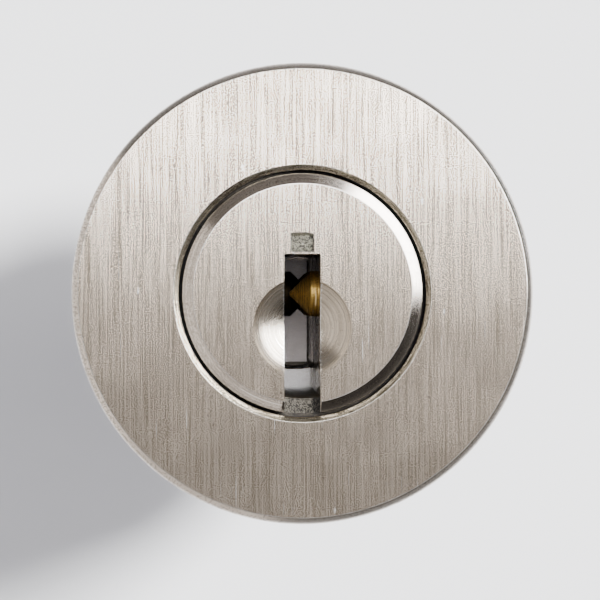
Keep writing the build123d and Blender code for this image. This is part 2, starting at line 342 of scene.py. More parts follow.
def handling_film() -> Tree:
    """Group for the uneven film that handling leaves: broad smudges, small specks of dirt, and slanted nicks.

    Returns:
        The node group.
    """

    def fill(sheet: NodeSheet, start: bpy.types.Node) -> dict[str, Socket]:
        """Adds the group's nodes.

        Args:
            sheet: The group's nodes.
            start: The group's input node.

        Returns:
            Output name to its socket.
        """
        place, amount = start.outputs["Vector"], start.outputs["Amount"]
        smudge = sheet.ramp(sheet.noise(place, 260.0, 3.0, 0.55), 0.42, 0.66)
        speck = sheet.ramp(sheet.noise(place, 3600.0, 2.0, 0.6), 0.66, 0.74)
        slanted = sheet.node("ShaderNodeMapping", {"Vector": place, "Rotation": (0.0, 0.0, 0.6),
                                                   "Scale": (1.0, 0.38, 1.0)}).outputs[0]
        dents = sheet.node("ShaderNodeTexVoronoi", {"Vector": slanted, "Scale": 700.0})
        chosen = sheet.ramp(sheet.noise(place, 420.0, 1.0, 0.5), 0.50, 0.54)
        nick = sheet.maths("MULTIPLY", sheet.ramp(dents.outputs["Distance"], 0.03, 0.075, 1.0, 0.0), chosen)
        return {key: sheet.maths("MULTIPLY", value, amount)
                for key, value in (("Smudge", smudge), ("Speck", speck), ("Nick", nick))}

    return shader_group("handling_film",
                        {"Vector": ("NodeSocketVector", None), "Amount": ("NodeSocketFloat", 1.0)},
                        dict.fromkeys(("Smudge", "Speck", "Nick"), "NodeSocketFloat"), fill)


def ring_wear() -> Tree:
    """Group for wear along a round edge, by how near a point is to the ring at a radius and a height.

    Returns:
        The node group.
    """

    def fill(sheet: NodeSheet, start: bpy.types.Node) -> dict[str, Socket]:
        """Adds the group's nodes.

        Args:
            sheet: The group's nodes.
            start: The group's input node.

        Returns:
            Output name to its socket.
        """
        flat, height = sheet.split(start.outputs["Vector"])
        radius = sheet.vectors("LENGTH", flat).outputs["Value"]
        off = [sheet.maths("POWER", sheet.maths("SUBTRACT", value, start.outputs[key]), 2.0)
               for key, value in (("Radius", radius), ("Height", height))]
        away = sheet.maths("SQRT", sheet.maths("ADD", *off))
        uneven = sheet.ramp(sheet.noise(start.outputs["Vector"], 900.0, 4.0, 0.7), 0.3, 0.7, 0.35, 1.0)
        nearness = sheet.maths("SUBTRACT", 1.0, sheet.maths("DIVIDE", away, start.outputs["Width"]), clamp=True)
        return {"Wear": sheet.maths("MULTIPLY", nearness, uneven, clamp=True)}

    return shader_group("ring_wear", {"Vector": ("NodeSocketVector", None), "Radius": ("NodeSocketFloat", 0.01),
                                      "Height": ("NodeSocketFloat", 0.0), "Width": ("NodeSocketFloat", 0.0002)},
                        {"Wear": "NodeSocketFloat"}, fill)


# ---- finishes ----

SMUDGE_SHADE = 0.22
SMUDGE_ROUGHNESS = 0.06
SPECK_SHADE = 0.55
NICK_SHINE = 0.8


@dataclass(frozen=True)
class RingEdge:
    """A round edge that wears bright: its radius, height and width in metres."""

    radius: float
    height: float
    width: float = 0.00012


@dataclass(frozen=True)
class MetalFinish:
    """One metal surface: its colours, gloss, tool marks, film and worn edges.

    Across and along are the tool marks' frequencies in marks for each metre, and centre and turn place the marks.
    """

    name: str
    colour: Colour
    shade: Colour
    bright: Colour
    roughness: float = 0.3
    roughness_spread: float = 0.12
    grain: Grain = Grain.TURNED
    across: float = 9000.0
    along: float = 260.0
    depth: float = 0.0000025
    film: float = 0.5
    metallic: float = 1.0
    centre: Point3 = (0.0, 0.0, 0.0)
    turn: Point3 = (0.0, 0.0, 0.0)
    rings: tuple[RingEdge, ...] = ()

    def material(self) -> bpy.types.Material:
        """Builds the material once.

        Returns:
            The Blender material.
        """
        if self.name in bpy.data.materials:
            return bpy.data.materials[self.name]
        made = bpy.data.materials.new(self.name)
        made.use_nodes = True
        made.node_tree.nodes.clear()
        sheet = NodeSheet(made.node_tree)
        place = sheet.node("ShaderNodeTexCoord").outputs["Object"]
        mapped = sheet.node("ShaderNodeMapping", {"Vector": place, "Location": self.centre, "Rotation": self.turn},
                            vector_type="TEXTURE").outputs[0]
        marks = self.marks(sheet, mapped)
        film = sheet.node("ShaderNodeGroup", {"Vector": place, "Amount": self.film}, node_tree=handling_film())
        colour = sheet.blend(marks.outputs["Tone"], self.shade, self.colour)
        colour = sheet.blend(marks.outputs["Scratch"], colour, self.bright)
        for key, share in (("Smudge", SMUDGE_SHADE), ("Speck", SPECK_SHADE)):
            stain = sheet.maths("MULTIPLY", film.outputs[key], share)
            colour = sheet.blend(stain, colour, self.shade, "MULTIPLY")
        colour = sheet.blend(sheet.maths("MULTIPLY", film.outputs["Nick"], NICK_SHINE), colour, self.bright)
        for ring in self.rings:
            wear = sheet.node("ShaderNodeGroup", {"Vector": place, "Radius": ring.radius, "Height": ring.height,
                                                  "Width": ring.width}, node_tree=ring_wear())
            colour = sheet.blend(wear.outputs[0], colour, self.bright)
        half = self.roughness_spread / 2
        rough = sheet.ramp(marks.outputs["Tone"], 0.0, 1.0, self.roughness + half, self.roughness - half,
                           smooth=False)
        dull = sheet.maths("MULTIPLY", film.outputs["Smudge"], SMUDGE_ROUGHNESS)
        rough = sheet.maths("ADD", rough, dull, clamp=True)
        bump = sheet.node("ShaderNodeBump", {"Height": marks.outputs["Height"], "Distance": self.depth,
                                             "Strength": 1.0})
        shader = sheet.node("ShaderNodeBsdfPrincipled", {"Base Color": colour, "Roughness": rough,
                                                         "Normal": bump.outputs[0], "Metallic": self.metallic})
        sheet.node("ShaderNodeOutputMaterial", {"Surface": shader.outputs[0]})
        return made

    def marks(self, sheet: NodeSheet, place: Socket) -> bpy.types.Node:
        """Adds the tool marks in this finish's direction.

        Args:
            sheet: The material's nodes.
            place: Mapped object coordinates.

        Returns:
            The tool marks' group node.
        """
        along = self.along
        if self.grain is Grain.TURNED:
            place = sheet.node("ShaderNodeGroup", {"Vector": place, "Reach": 0.01},
                               node_tree=lathe_coordinates()).outputs["Vector"]
        elif self.grain is Grain.BROACHED:
            parts = sheet.node("ShaderNodeSeparateXYZ", {0: place})
            cross = sheet.maths("ADD", parts.outputs[0], parts.outputs[1])
            place = sheet.node("ShaderNodeCombineXYZ", {0: cross, 1: parts.outputs[2]}).outputs[0]
        elif self.grain is Grain.CAST:
            along = self.across
        return sheet.node("ShaderNodeGroup", {"Vector": place, "Across": self.across, "Along": along},
                          node_tree=tool_marks())


# ---- mesh tools ----


def soften(points: list[Point2], radius: float, steps: int = 3, closed: bool = True) -> list[Point2]:
    """Rounds the corners of an outline.

    Args:
        points: Corners in order.
        radius: How far from each corner the rounding starts.
        steps: Pieces in each rounding.
        closed: Whether the outline is a loop; an open one keeps its end points.

    Returns:
        The rounded outline.
    """
    made: list[Point2] = []
    count = len(points)
    for i, corner in enumerate(points):
        if not closed and i in (0, count - 1):
            made.append(corner)
            continue
        here = Vector(corner)
        back = Vector(points[i - 1]) - here
        ahead = Vector(points[(i + 1) % count]) - here
        if back.length < 1e-9 or ahead.length < 1e-9 or back.angle(-ahead) < math.radians(8):
            made.append(corner)
            continue
        reach = min(radius, 0.45 * back.length, 0.45 * ahead.length)
        start, end = here + back.normalized() * reach, here + ahead.normalized() * reach
        for k in range(steps + 1):
            t = k / steps
            point = start * (1 - t) ** 2 + here * (2 * t * (1 - t)) + end * t**2
            made.append((point.x, point.y))
    return made


def turned_mesh(profile: list[Point2], segments: int, closed: bool, place: Matrix | None = None) -> Mesh:
    """Turns a profile of radius and height round Z.

    Args:
        profile: Points of radius and height; a radius of 0 is a pole.
        segments: Number of steps round the axis.
        closed: Whether the last point joins the first.
        place: Where the turned piece goes.

    Returns:
        A closed bmesh with its faces outwards.
    """
    made = bmesh.new()
    rings: list[list[bmesh.types.BMVert]] = []
    flat_start = profile[0][0] < 1e-9 and abs(profile[0][1] - profile[1][1]) < 1e-9
    flat_end = profile[-1][0] < 1e-9 and abs(profile[-1][1] - profile[-2][1]) < 1e-9
    for radius, height in profile[int(flat_start):len(profile) - int(flat_end)]:
        if radius < 1e-9:
            rings.append([made.verts.new((0, 0, height))])
            continue
        angles = (2 * math.pi * k / segments for k in range(segments))
        rings.append([made.verts.new((radius * math.cos(a), radius * math.sin(a), height)) for a in angles])
    pairs = list(zip(rings, rings[1:] + rings[:1])) if closed else list(zip(rings, rings[1:]))
    for low, high in pairs:
        for k in range(segments):
            n = (k + 1) % segments
            corners = [low[k % len(low)], low[n % len(low)], high[n % len(high)], high[k % len(high)]]
            unique = list(dict.fromkeys(corners))
            if len(unique) > 2:
                made.faces.new(unique)
    for flat, ring in ((flat_start, rings[0]), (flat_end, rings[-1])):
        if flat:
            made.faces.new(ring)
    bmesh.ops.recalc_face_normals(made, faces=made.faces)
    if place is not None:
        bmesh.ops.transform(made, matrix=place, verts=made.verts)
    return made


def block_mesh(low: Iterable[float], high: Iterable[float]) -> Mesh:
    """Makes a box between two corners, used as a cutter.

    Args:
        low: Lowest corner.
        high: Highest corner.

    Returns:
        The box.
    """
    made = bmesh.new()
    bmesh.ops.create_cube(made, size=1.0)
    lo, hi = Vector(low), Vector(high)
    size = hi - lo
    bmesh.ops.transform(made, matrix=Matrix.Translation((lo + hi) / 2) @ Matrix.Diagonal((*size, 1.0)),
                        verts=made.verts)
    return made


def rod_mesh(start: Vector, end: Vector, radius: float, segments: int = 48) -> Mesh:
    """Makes a round rod between two points, used as a cutter for drilled holes.

    Args:
        start: Centre of one end.
        end: Centre of the other end.
        radius: Radius of the rod.
        segments: Number of sides.

    Returns:
        The rod.
    """
    way = end - start
    place = Matrix.Translation(start) @ way.to_track_quat("Z", "Y").to_matrix().to_4x4()
    return turned_mesh([(0, 0), (radius, 0), (radius, way.length), (0, way.length)], segments, False, place)


def piece(name: str, made: Mesh) -> bpy.types.Object:
    """Makes an object of a bmesh, at the origin.

    Args:
        name: Name of the piece.
        made: The mesh, which is freed.

    Returns:
        The linked object.
    """
    mesh = bpy.data.meshes.new(name)
    made.to_mesh(mesh)
    made.free()
    found = bpy.data.objects.new(name, mesh)
    bpy.context.scene.collection.objects.link(found)
    return found


def baked(found: bpy.types.Object) -> None:
    """Applies an object's modifiers to its mesh.

    Args:
        found: Object whose modifiers are applied and removed.
    """
    bpy.context.view_layer.update()
    mesh = bpy.data.meshes.new_from_object(found.evaluated_get(bpy.context.evaluated_depsgraph_get()))
    found.modifiers.clear()
    found.data = mesh


def cut(found: bpy.types.Object, cutters: list[Mesh]) -> None:
    """Cuts several shapes out of a piece, one after another.

    Args:
        found: Piece to cut.
        cutters: Closed cutters, which are freed.
    """
    for made in cutters:
        tool = piece("cutter", made)
        modifier = found.modifiers.new("cut", "BOOLEAN")
        modifier.operation = "DIFFERENCE"
        modifier.solver = "EXACT"
        modifier.object = tool
        baked(found)
        bpy.data.objects.remove(tool)


def joined(parts: list[Mesh]) -> Mesh:
    """Puts several separate meshes into one.

    Args:
        parts: Meshes, which are freed.

    Returns:
        One bmesh with all of them.
    """
    made = bmesh.new()
    for part in parts:
        held = bpy.data.meshes.new("held")
        part.to_mesh(held)
        part.free()
        made.from_mesh(held)
        bpy.data.meshes.remove(held)
    return made


def bevelled(found: bpy.types.Object, width: float, wanted: Callable[[Vector, Vector], bool],
             slot: int, segments: int = 2) -> None:
    """Rounds chosen sharp edges of a piece, and gives the new faces their own slot.

    Args:
        found: Piece to change.
        width: Width of the rounding.
        wanted: Says from an edge's two ends whether it is rounded.
        slot: Material slot of the rounding.
        segments: Steps across the rounding.
    """
    made = bmesh.new()
    made.from_mesh(found.data)
    bmesh.ops.remove_doubles(made, verts=made.verts, dist=2e-7)
    bmesh.ops.dissolve_degenerate(made, edges=made.edges, dist=2e-7)
    edges = [e for e in made.edges if len(e.link_faces) == 2 and e.calc_face_angle(0) > math.radians(35)
             and wanted(e.verts[0].co, e.verts[1].co)]
    before = set(made.faces)
    bmesh.ops.bevel(made, geom=edges, offset=width, segments=segments, profile=0.5, affect="EDGES",
                    clamp_overlap=True, loop_slide=True)
    for face in made.faces:
        if face not in before and face.calc_area() < 40 * width * width:
            face.material_index = slot
    made.to_mesh(found.data)
    made.free()


def finished(found: bpy.types.Object, finishes: list[MetalFinish], region: Region | None = None) -> None:
    """Gives a piece its finishes, face by face.

    Args:
        found: Piece to finish.
        finishes: Finishes in slot order.
        region: Gives each face's slot from its centre and normal.
    """
    mesh = found.data
    mesh.materials.clear()
    for finish in finishes:
        mesh.materials.append(finish.material())
    if region is not None:
        for face in mesh.polygons:
            face.material_index = region(face.center, face.normal)


def smoothed(found: bpy.types.Object, sharp: float = 32.0) -> None:
    """Shades a piece smooth, with flats that stay flat up to their rounded edges.

    Args:
        found: Piece to shade.
        sharp: Angle in degrees past which an edge is shaded sharp.
    """
    made = bmesh.new()
    made.from_mesh(found.data)
    for face in made.faces:
        face.smooth = True
        face.tag = max(abs(part) for part in face.normal) > 0.99999
    for edge in made.edges:
        faces = edge.link_faces
        edge.smooth = len(faces) == 2 and faces[0].tag == faces[1].tag and \
            edge.calc_face_angle(0) < math.radians(sharp)
    made.to_mesh(found.data)
    made.free()
    modifier = found.modifiers.new("flats", "WEIGHTED_NORMAL")
    modifier.keep_sharp = True
    modifier.weight = 100
    baked(found)


def dress(found: bpy.types.Object, finishes: list[MetalFinish], region: Region | None = None) -> None:
    """Gives a piece its finishes and its shading.

    Args:
        found: Piece to dress.
        finishes: Finishes in slot order.
        region: Gives each face's slot from its centre and normal.
    """
    finished(found, finishes, region)
    smoothed(found)


def settle(found: bpy.types.Object, body: str, slot: str, *nodes: str) -> None:
    """Puts a finished piece on its body, in place of CAD nodes, and reports it.

    Args:
        found: Finished piece.
        body: CAD body that it rides on.
        slot: Material slot of the record; not used.
        *nodes: CAD nodes that it stands for.
    """
    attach(found, body)
    if nodes:
        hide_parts(*nodes)
    LOG.info("%s: %d faces, rides on %s", found.name, len(found.data.polygons), body)


# ---- finishes of this lock ----

NICKEL = (0.79, 0.685, 0.575)
NICKEL_SHADE = (0.155, 0.126, 0.096)
NICKEL_BRIGHT = (0.98, 0.96, 0.93)
BODY_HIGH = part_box("housing")[1]
PLUG_LOW, PLUG_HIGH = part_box("plug")
FACE = BODY_HIGH.z
BODY_RADIUS = BODY_HIGH.x
FRONT_EDGE = 0.35 * MM
HEAD_SEAT_RADIUS = 7.5 * MM
MOUTH_CHAMFER = 0.3 * MM
HEAD_CHAMFER = 0.63 * MM
DISH_DROP = 2.07 * MM
RUNNING_CLEARANCE = 0.04 * MM
CUTTER_OVERRUN = 1.1
HAIR = 0.01 * MM
PIN_NUMBERS = range(1, 6)

BRUSHED_FACE = MetalFinish(
    "brushed_nickel_face", NICKEL, NICKEL_SHADE, NICKEL_BRIGHT, roughness=0.25, grain=Grain.UPRIGHT,
    across=20000.0, along=235.0, depth=0.0000035, film=0.9,
    rings=(RingEdge(PLUG_HIGH.x - HEAD_CHAMFER, FACE, 0.05 * MM),
           RingEdge(HEAD_SEAT_RADIUS + MOUTH_CHAMFER, FACE, 0.06 * MM),
           RingEdge(BODY_RADIUS - FRONT_EDGE, FACE, 0.07 * MM)))
TURNED_NICKEL = MetalFinish(
    "turned_nickel_side", (0.42, 0.388, 0.345), (0.27, 0.248, 0.216), NICKEL_BRIGHT, roughness=0.30, along=60.0,
    across=21000.0, depth=0.000004, film=0.9)
POLISHED_NICKEL = MetalFinish(
    "polished_nickel_bevel", (0.74, 0.685, 0.625), (0.50, 0.455, 0.41), NICKEL_BRIGHT, roughness=0.13,
    roughness_spread=0.08, across=9000.0, along=60.0, depth=0.0000012, film=1.0)
TURNED_DISH = MetalFinish(
    "turned_lead_in", (0.62, 0.56, 0.48), (0.36, 0.315, 0.26), NICKEL_BRIGHT, roughness=0.22, across=9000.0,
    along=50.0, depth=0.000006, centre=(0.0, -DISH_DROP, 0.0))
ROUGH_NOTCH = MetalFinish(
    "rough_notch_floor", (0.14, 0.132, 0.10), (0.010, 0.009, 0.006), (0.9, 0.9, 0.82), roughness=0.5,
    grain=Grain.CAST, across=6500.0, depth=0.00008, film=1.0, metallic=0.3)
# Painted shade: the counterbore's shoulder, deep in the recess behind the keyway, is coloured almost black in
# place of the shade that falls there; its rough tooth is real.
SHOULDER_PAINTED_SHADE = MetalFinish(
    "rough_seat_shoulder", (0.075, 0.068, 0.056), (0.004, 0.0035, 0.0025), (0.95, 0.93, 0.86), roughness=0.7,
    grain=Grain.CAST, across=5600.0, depth=0.0001, film=1.0, metallic=0.0)
BROACHED_BRASS = MetalFinish(
    "broached_keyway", (0.62, 0.54, 0.43), (0.29, 0.24, 0.18), (0.9, 0.85, 0.76), roughness=0.20,
    grain=Grain.BROACHED, across=6000.0, along=500.0, depth=0.000003, film=1.0, metallic=0.8)
BURNISHED_EDGE = MetalFinish(
    "burnished_edge", (0.80, 0.79, 0.77), (0.55, 0.53, 0.50), NICKEL_BRIGHT, roughness=0.2, grain=Grain.CAST,
    across=4000.0, depth=0.000001, film=0.3)
BORE_METAL = MetalFinish(
    "bored_brass", (0.36, 0.31, 0.24), (0.20, 0.17, 0.13), (0.7, 0.62, 0.5), roughness=0.38, across=6000.0,
    along=120.0, depth=0.000003, film=0.8)
SEAT_MOUTH = MetalFinish(
    "worn_seat_mouth", (0.60, 0.55, 0.45), (0.10, 0.088, 0.062), NICKEL_BRIGHT, roughness=0.28, across=9000.0,
    along=700.0, depth=0.000006, film=1.0)
# Painted shade: near-black colour for the seat wall and the plug head's side, standing in for the shade inside the
# narrow gap between plug and body.
GAP_PAINTED_SHADE = MetalFinish(
    "gap_painted_shade", (0.035, 0.03, 0.024), (0.012, 0.01, 0.008), (0.08, 0.07, 0.05), roughness=0.6,
    grain=Grain.CAST, across=4000.0, depth=0.000003, film=1.0, metallic=0.2)
PIN_TURN = {Side.RIGHT: (0.0, math.pi / 2, 0.0), Side.LEFT: (0.0, -math.pi / 2, 0.0)}


class BodySlot(IntEnum):
    """The body's finishes, in slot order."""

    FRONT = 0
    SIDE = 1
    BEVEL = 2
    BORE = 3
    MOUTH = 4
    SEAT_WALL = 5
    SHOULDER = 6


class PlugSlot(IntEnum):
    """The plug's finishes, in slot order."""

    FRONT = 0
    BEVEL = 1
    DISH = 2
    NOTCH = 3
    KEYWAY = 4
    BORE = 5
    BURNISHED = 6
    RIM = 7


def axis_and_radius(node: str) -> tuple[float, float]:
    """Reads the height and radius of a round piece that lies across the lock's axis.

    Args:
        node: CAD node of the piece.

    Returns:
        Height of its axis, and its radius.
    """
    low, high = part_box(node)
    return (low.z + high.z) / 2, (high.z - low.z) / 2


def guard_rods(node: str, reach: float, segments: int) -> list[Mesh]:
    """Makes the cutters for a pair of upright guard pins.

    Args:
        node: CAD node of the pair.
        reach: How far up the holes go.
        segments: Sides of each hole.

    Returns:
        The right and the left cutter.
    """
    low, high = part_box(node)
    height, radius = axis_and_radius(node)
    return [rod_mesh(Vector((way * (high.x - radius), low.y, height)),
                     Vector((way * (high.x - radius), reach, height)), radius, segments) for way in (1, -1)]


def lock_hole(low: float, high: float) -> Mesh:
    """Makes the cutter for the hole that the cap's lock pin runs in.

    Args:
        low: Height of the face that the hole opens in.
        high: Height of the hole's end.

    Returns:
        The cutter.
    """
    pin_low, pin_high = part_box("cap_lock_pin")
    across, radius = (pin_low.x + pin_high.x) / 2, (pin_high.x - pin_low.x) / 2
    return rod_mesh(Vector((across, 0, low - MM)), Vector((across, 0, high)), radius + RUNNING_CLEARANCE, 32)


@dataclass
class Housing:
    """The round body: bored, counterbored for the plug's head, and drilled for pins, guard pins and screws."""

    front_edge: float = FRONT_EDGE
    rear_edge: float = 0.5 * MM
    mouth_chamfer: float = MOUTH_CHAMFER
    head_seat_depth: float = 1.8 * MM
    head_seat_radius: float = HEAD_SEAT_RADIUS
    bore_radius: float = 6.39 * MM
    washer_seat_radius: float = 7.2 * MM
    washer_seat_depth: float = 0.9 * MM
    edge_round: float = 0.03 * MM
    screw_radius: float = 2.1 * MM
    screw_depth: float = 14.0 * MM
    screw_offset: float = 10.35 * MM
    thread_pitch: float = 0.8 * MM
    thread_ridge: float = 0.16 * MM
    segments: int = 240

    def profile(self) -> list[Point2]:
        """Works out the body's outline, as a loop.

        Returns:
            Its points of radius and height.
        """
        corners = [
            (self.washer_seat_radius, 0.0),
            (BODY_RADIUS - self.rear_edge, 0.0),
            (BODY_RADIUS, self.rear_edge),
            (BODY_RADIUS, FACE - self.front_edge),
            (BODY_RADIUS - self.front_edge, FACE),
            (self.head_seat_radius + self.mouth_chamfer, FACE),
            (self.head_seat_radius, FACE - self.mouth_chamfer),
            (self.head_seat_radius, FACE - self.head_seat_depth),
            (PLUG_HIGH.x, FACE - self.head_seat_depth),
            (self.bore_radius, FACE - self.head_seat_depth),
            (self.bore_radius, self.washer_seat_depth),
            (self.washer_seat_radius, self.washer_seat_depth),
        ]
        return soften(corners, self.edge_round)

    def region(self, centre: Vector, normal: Vector) -> int:
        """Slot of a face: brushed front, turned side, polished bevel, bare bore, seat mouth, seat wall in
        near-black painted gap shade, or its rough shoulder, darkened as painted shade of the recess.

        Args:
            centre: The face's centre.
            normal: The face's normal.

        Returns:
            The material slot's number.
        """
        radius = math.hypot(centre.x, centre.y)
        mouth_radius = self.head_seat_radius + self.mouth_chamfer
        if normal.z > 0.995 and centre.z > FACE - HAIR:
            return BodySlot.FRONT
        if centre.z > FACE - self.front_edge - HAIR and radius > BODY_RADIUS - self.front_edge - HAIR:
            return BodySlot.BEVEL
        if centre.z > FACE - self.mouth_chamfer - HAIR and radius < mouth_radius + HAIR:
            return BodySlot.MOUTH
        if centre.z > FACE - self.head_seat_depth - HAIR and radius < self.head_seat_radius + HAIR:
            # The seat wall takes the near-black painted gap shade; the shoulder's near-black colour is painted
            # recess shade.
            return BodySlot.SHOULDER if normal.z > 0.9 and radius < PLUG_HIGH.x else BodySlot.SEAT_WALL
        if radius < self.head_seat_radius + HAIR and centre.z > HAIR:
            return BodySlot.BORE
        return BodySlot.SIDE

    def screw_thread(self, way: int) -> None:
        """Winds the thread's ridge in one screw hole.

        Args:
            way: 1 for the hole towards +Y, -1 for the other.
        """
        ridge = self.thread_ridge
        length = self.screw_depth - 2 * self.rear_edge
        found = grown(f"screw_thread_{'upper' if way > 0 else 'lower'}", helix_tree(), {
            "Turns": length / self.thread_pitch, "Radius": self.screw_radius + 0.2 * ridge, "Length": length,
            "Wire": ridge, "Sides": 6, "Closed Turns": 0.0,
            "Start": (0.0, way * self.screw_offset, self.rear_edge), "Turn": (0.0, 0.0, 0.0),
            "Metal": BORE_METAL.material()})
        settle(found, "housing", "nickel_plate")

    def build(self) -> None:
        """Builds the body, cuts its holes, and winds a thread in each screw hole."""
        body = piece("round_body", turned_mesh(self.profile(), self.segments, True))
        drills = []
        for side in Side:
            out = side.value * BODY_RADIUS * CUTTER_OVERRUN
            for number in PIN_NUMBERS:
                height, radius = axis_and_radius(f"driver_pin_{side.word}_{number}")
                drills.append(rod_mesh(Vector((0, 0, height)), Vector((out, 0, height)),
                                       radius + RUNNING_CLEARANCE, 40))
        drills += guard_rods("housing_guard_pins", BODY_RADIUS * CUTTER_OVERRUN, 40)
        for way in (1, -1):
            across = way * self.screw_offset
            drills.append(rod_mesh(Vector((0, across, -MM)), Vector((0, across, self.screw_depth)),
                                   self.screw_radius, 48))
        cut(body, [joined(drills)])
        dress(body, [BRUSHED_FACE, TURNED_NICKEL, POLISHED_NICKEL, BORE_METAL, SEAT_MOUTH, GAP_PAINTED_SHADE,
                     SHOULDER_PAINTED_SHADE], self.region)
        settle(body, "housing", "nickel_plate", "housing")
        for way in (1, -1):
            self.screw_thread(way)


@dataclass
class Plug:
    """The plug: chamfered head, shank, keyway, round lead-in, notch and pin holes."""

    head_radius: float = 7.3 * MM
    head_thickness: float = 1.78 * MM
    head_chamfer: float = HEAD_CHAMFER
    head_chamfer_depth: float = 0.29 * MM
    shank_radius: float = 6.35 * MM
    shank_foot: float = 0.9 * MM
    thread_radius: float = 5.0 * MM
    foot_chamfer: float = 0.5 * MM
    nose_hole_radius: float = 1.44 * MM
    collar_hole_depth: float = 1.37 * MM
    key_half: float = 1.1 * MM
    key_top: float = 2.4 * MM
    dish_radius: float = 3.0 * MM
    dish_depth: float = 1.3 * MM
    dish_rings: int = 56
    dish_ripple: float = 0.0035 * MM
    notch_half: float = 0.725 * MM
    notch_height: float = 1.28 * MM
    notch_web: float = 0.1 * MM
    notch_depth: float = 0.33 * MM
    notch_lip: float = 0.22 * MM
    notch_steps: int = 9
    notch_corner_drop: float = 0.16 * MM
    notch_draft: float = 0.07
    edge_round: float = 0.03 * MM
    key_edge: float = 0.05 * MM
    segments: int = 240

    def profile(self) -> list[Point2]:
        """Works out the plug's outline, from pole to pole.

        Returns:
            Its points of radius and height.
        """
        foot = PLUG_LOW.z
        corners = [
            (0.0, foot),
            (self.thread_radius - self.foot_chamfer, foot),
            (self.thread_radius, foot + self.foot_chamfer),
            (self.thread_radius, self.shank_foot),
            (self.shank_radius, self.shank_foot),
            (self.shank_radius, FACE - self.head_thickness),
            (self.head_radius, FACE - self.head_thickness),
            (self.head_radius, FACE - self.head_chamfer_depth),
            (self.head_radius - self.head_chamfer, FACE),
            (0.0, FACE),
        ]
        return soften(corners, self.edge_round, closed=False)

    def dish(self) -> Mesh:
        """Makes the cutter for the lead-in: a ball cap with the fine rings that the form tool left.

        Returns:
            The cutter.
        """
        ball = (self.dish_radius**2 + self.dish_depth**2) / (2 * self.dish_depth)
        centre = FACE - self.dish_depth + ball
        reach = math.asin(self.dish_radius / ball) * 1.12
        profile: list[Point2] = []
        for k in range(self.dish_rings + 1):
            angle = reach * k / self.dish_rings
            deep = 1 if k % 7 else 2.2
            radius = ball + self.dish_ripple * math.sin(k * 2.4) * deep
            profile.append((radius * math.sin(angle), centre - radius * math.cos(angle)))
        profile[0] = (0.0, profile[0][1])
        profile.append((0.0, profile[-1][1]))
        return turned_mesh(profile, 128, False, Matrix.Translation((0, -DISH_DROP, 0)))

    def notch(self) -> Mesh:
        """Makes the cutter for the key-stop notch, whose edges are as ragged as a punch leaves them.

        Returns:
            The cutter.
        """
        rng = random.Random(7)
        made = bmesh.new()
        low, high = self.key_top + self.notch_web, self.key_top + self.notch_web + self.notch_height
        half, steps, corner_share = self.notch_half, self.notch_steps, 0.25
        outline: list[Point2] = []
        for k in range(steps):
            share = k / (steps - 1)
            outline.append((half * (2 * share - 1), low + rng.uniform(0, 0.015) * MM))
        for k in range(1, steps):
            outline.append((half + rng.uniform(-0.03, 0.02) * MM, low + (high - low) * (k / steps)))
        for k in range(steps):
            share = k / (steps - 1)
            drop = self.notch_corner_drop * max(0.0, corner_share - share) / corner_share
            outline.append((half * (1 - 2 * share), high - drop + rng.uniform(-0.05, 0.03) * MM))
        for k in range(1, steps):
            outline.append((-half + rng.uniform(-0.03, 0.03) * MM, high - (high - low) * (k / steps)))
        middle = Vector((0.0, (low + high) / 2))
        foot, top = [], []
        for x, y in outline:
            inward = (middle - Vector((x, y))) * self.notch_draft
            lip = self.notch_lip * max(0.0, 2 * (y - low) / (high - low) - 1)
            foot.append(made.verts.new((x + inward.x, y + inward.y - lip, FACE - self.notch_depth)))
            top.append(made.verts.new((x, y, FACE + 0.1 * MM)))
        made.faces.new(foot)
        made.faces.new(top)
        for k in range(len(outline)):
            n = (k + 1) % len(outline)
            made.faces.new((foot[k], foot[n], top[n], top[k]))
        bmesh.ops.recalc_face_normals(made, faces=made.faces)
        return made

    def region(self, centre: Vector, normal: Vector) -> int:
        """Slot of a face of the plug.

        Args:
            centre: The face's centre.
            normal: The face's normal.

        Returns:
            The material slot's number.
        """
        radius = math.hypot(centre.x, centre.y)
        in_dish = math.hypot(centre.x, centre.y + DISH_DROP) < self.dish_radius + HAIR
        notch_foot = self.key_top + 0.5 * self.notch_web
        in_notch = notch_foot < centre.y < self.key_top + self.notch_height + 2 * self.notch_web
        if normal.z > 0.995 and centre.z > FACE - HAIR:
            return PlugSlot.FRONT
        if in_notch and abs(centre.x) < self.notch_half * 1.1 and centre.z > FACE - 2 * self.notch_depth:
            return PlugSlot.BURNISHED if normal.y < -0.5 else PlugSlot.NOTCH
        if in_dish and normal.z > 0.5 and centre.z > FACE - self.dish_depth - 0.1 * MM:
            return PlugSlot.DISH
        if radius > self.head_radius - self.head_chamfer - HAIR and normal.z > 0.2 \
                and centre.z > FACE - self.head_chamfer_depth - HAIR:
            return PlugSlot.BEVEL
        # The plug head's side takes the gap's near-black painted shade.
        if radius > self.head_radius - 2 * HAIR and centre.z > FACE - self.head_thickness - HAIR:
            return PlugSlot.RIM
        if abs(centre.x) < self.key_half + HAIR and centre.y < self.key_top + HAIR and centre.z < FACE - HAIR:
            return PlugSlot.KEYWAY
        return PlugSlot.BORE

    def front_key_edge(self, one: Vector, other: Vector) -> bool:
        """Whether an edge lies along the keyway's or the notch's mouth at the front.

        Args:
            one: One end of the edge.
            other: The other end.

        Returns:
            True if the edge is to be rounded.
        """
        middle = (one + other) / 2
        hair = 0.004 * MM
        if min(one.z, other.z) < FACE - self.dish_depth - 0.15 * MM:
            return False
        wall = all(abs(abs(v.x) - self.key_half) < hair and v.y < self.key_top + hair for v in (one, other))
        along_top = all(abs(v.y - self.key_top) < hair and abs(v.x) < self.key_half + hair for v in (one, other))
        upright = abs(one.z - other.z) > 0.9 * (one - other).length
        return (wall or along_top) and not upright and math.hypot(middle.x, middle.y) < self.head_radius

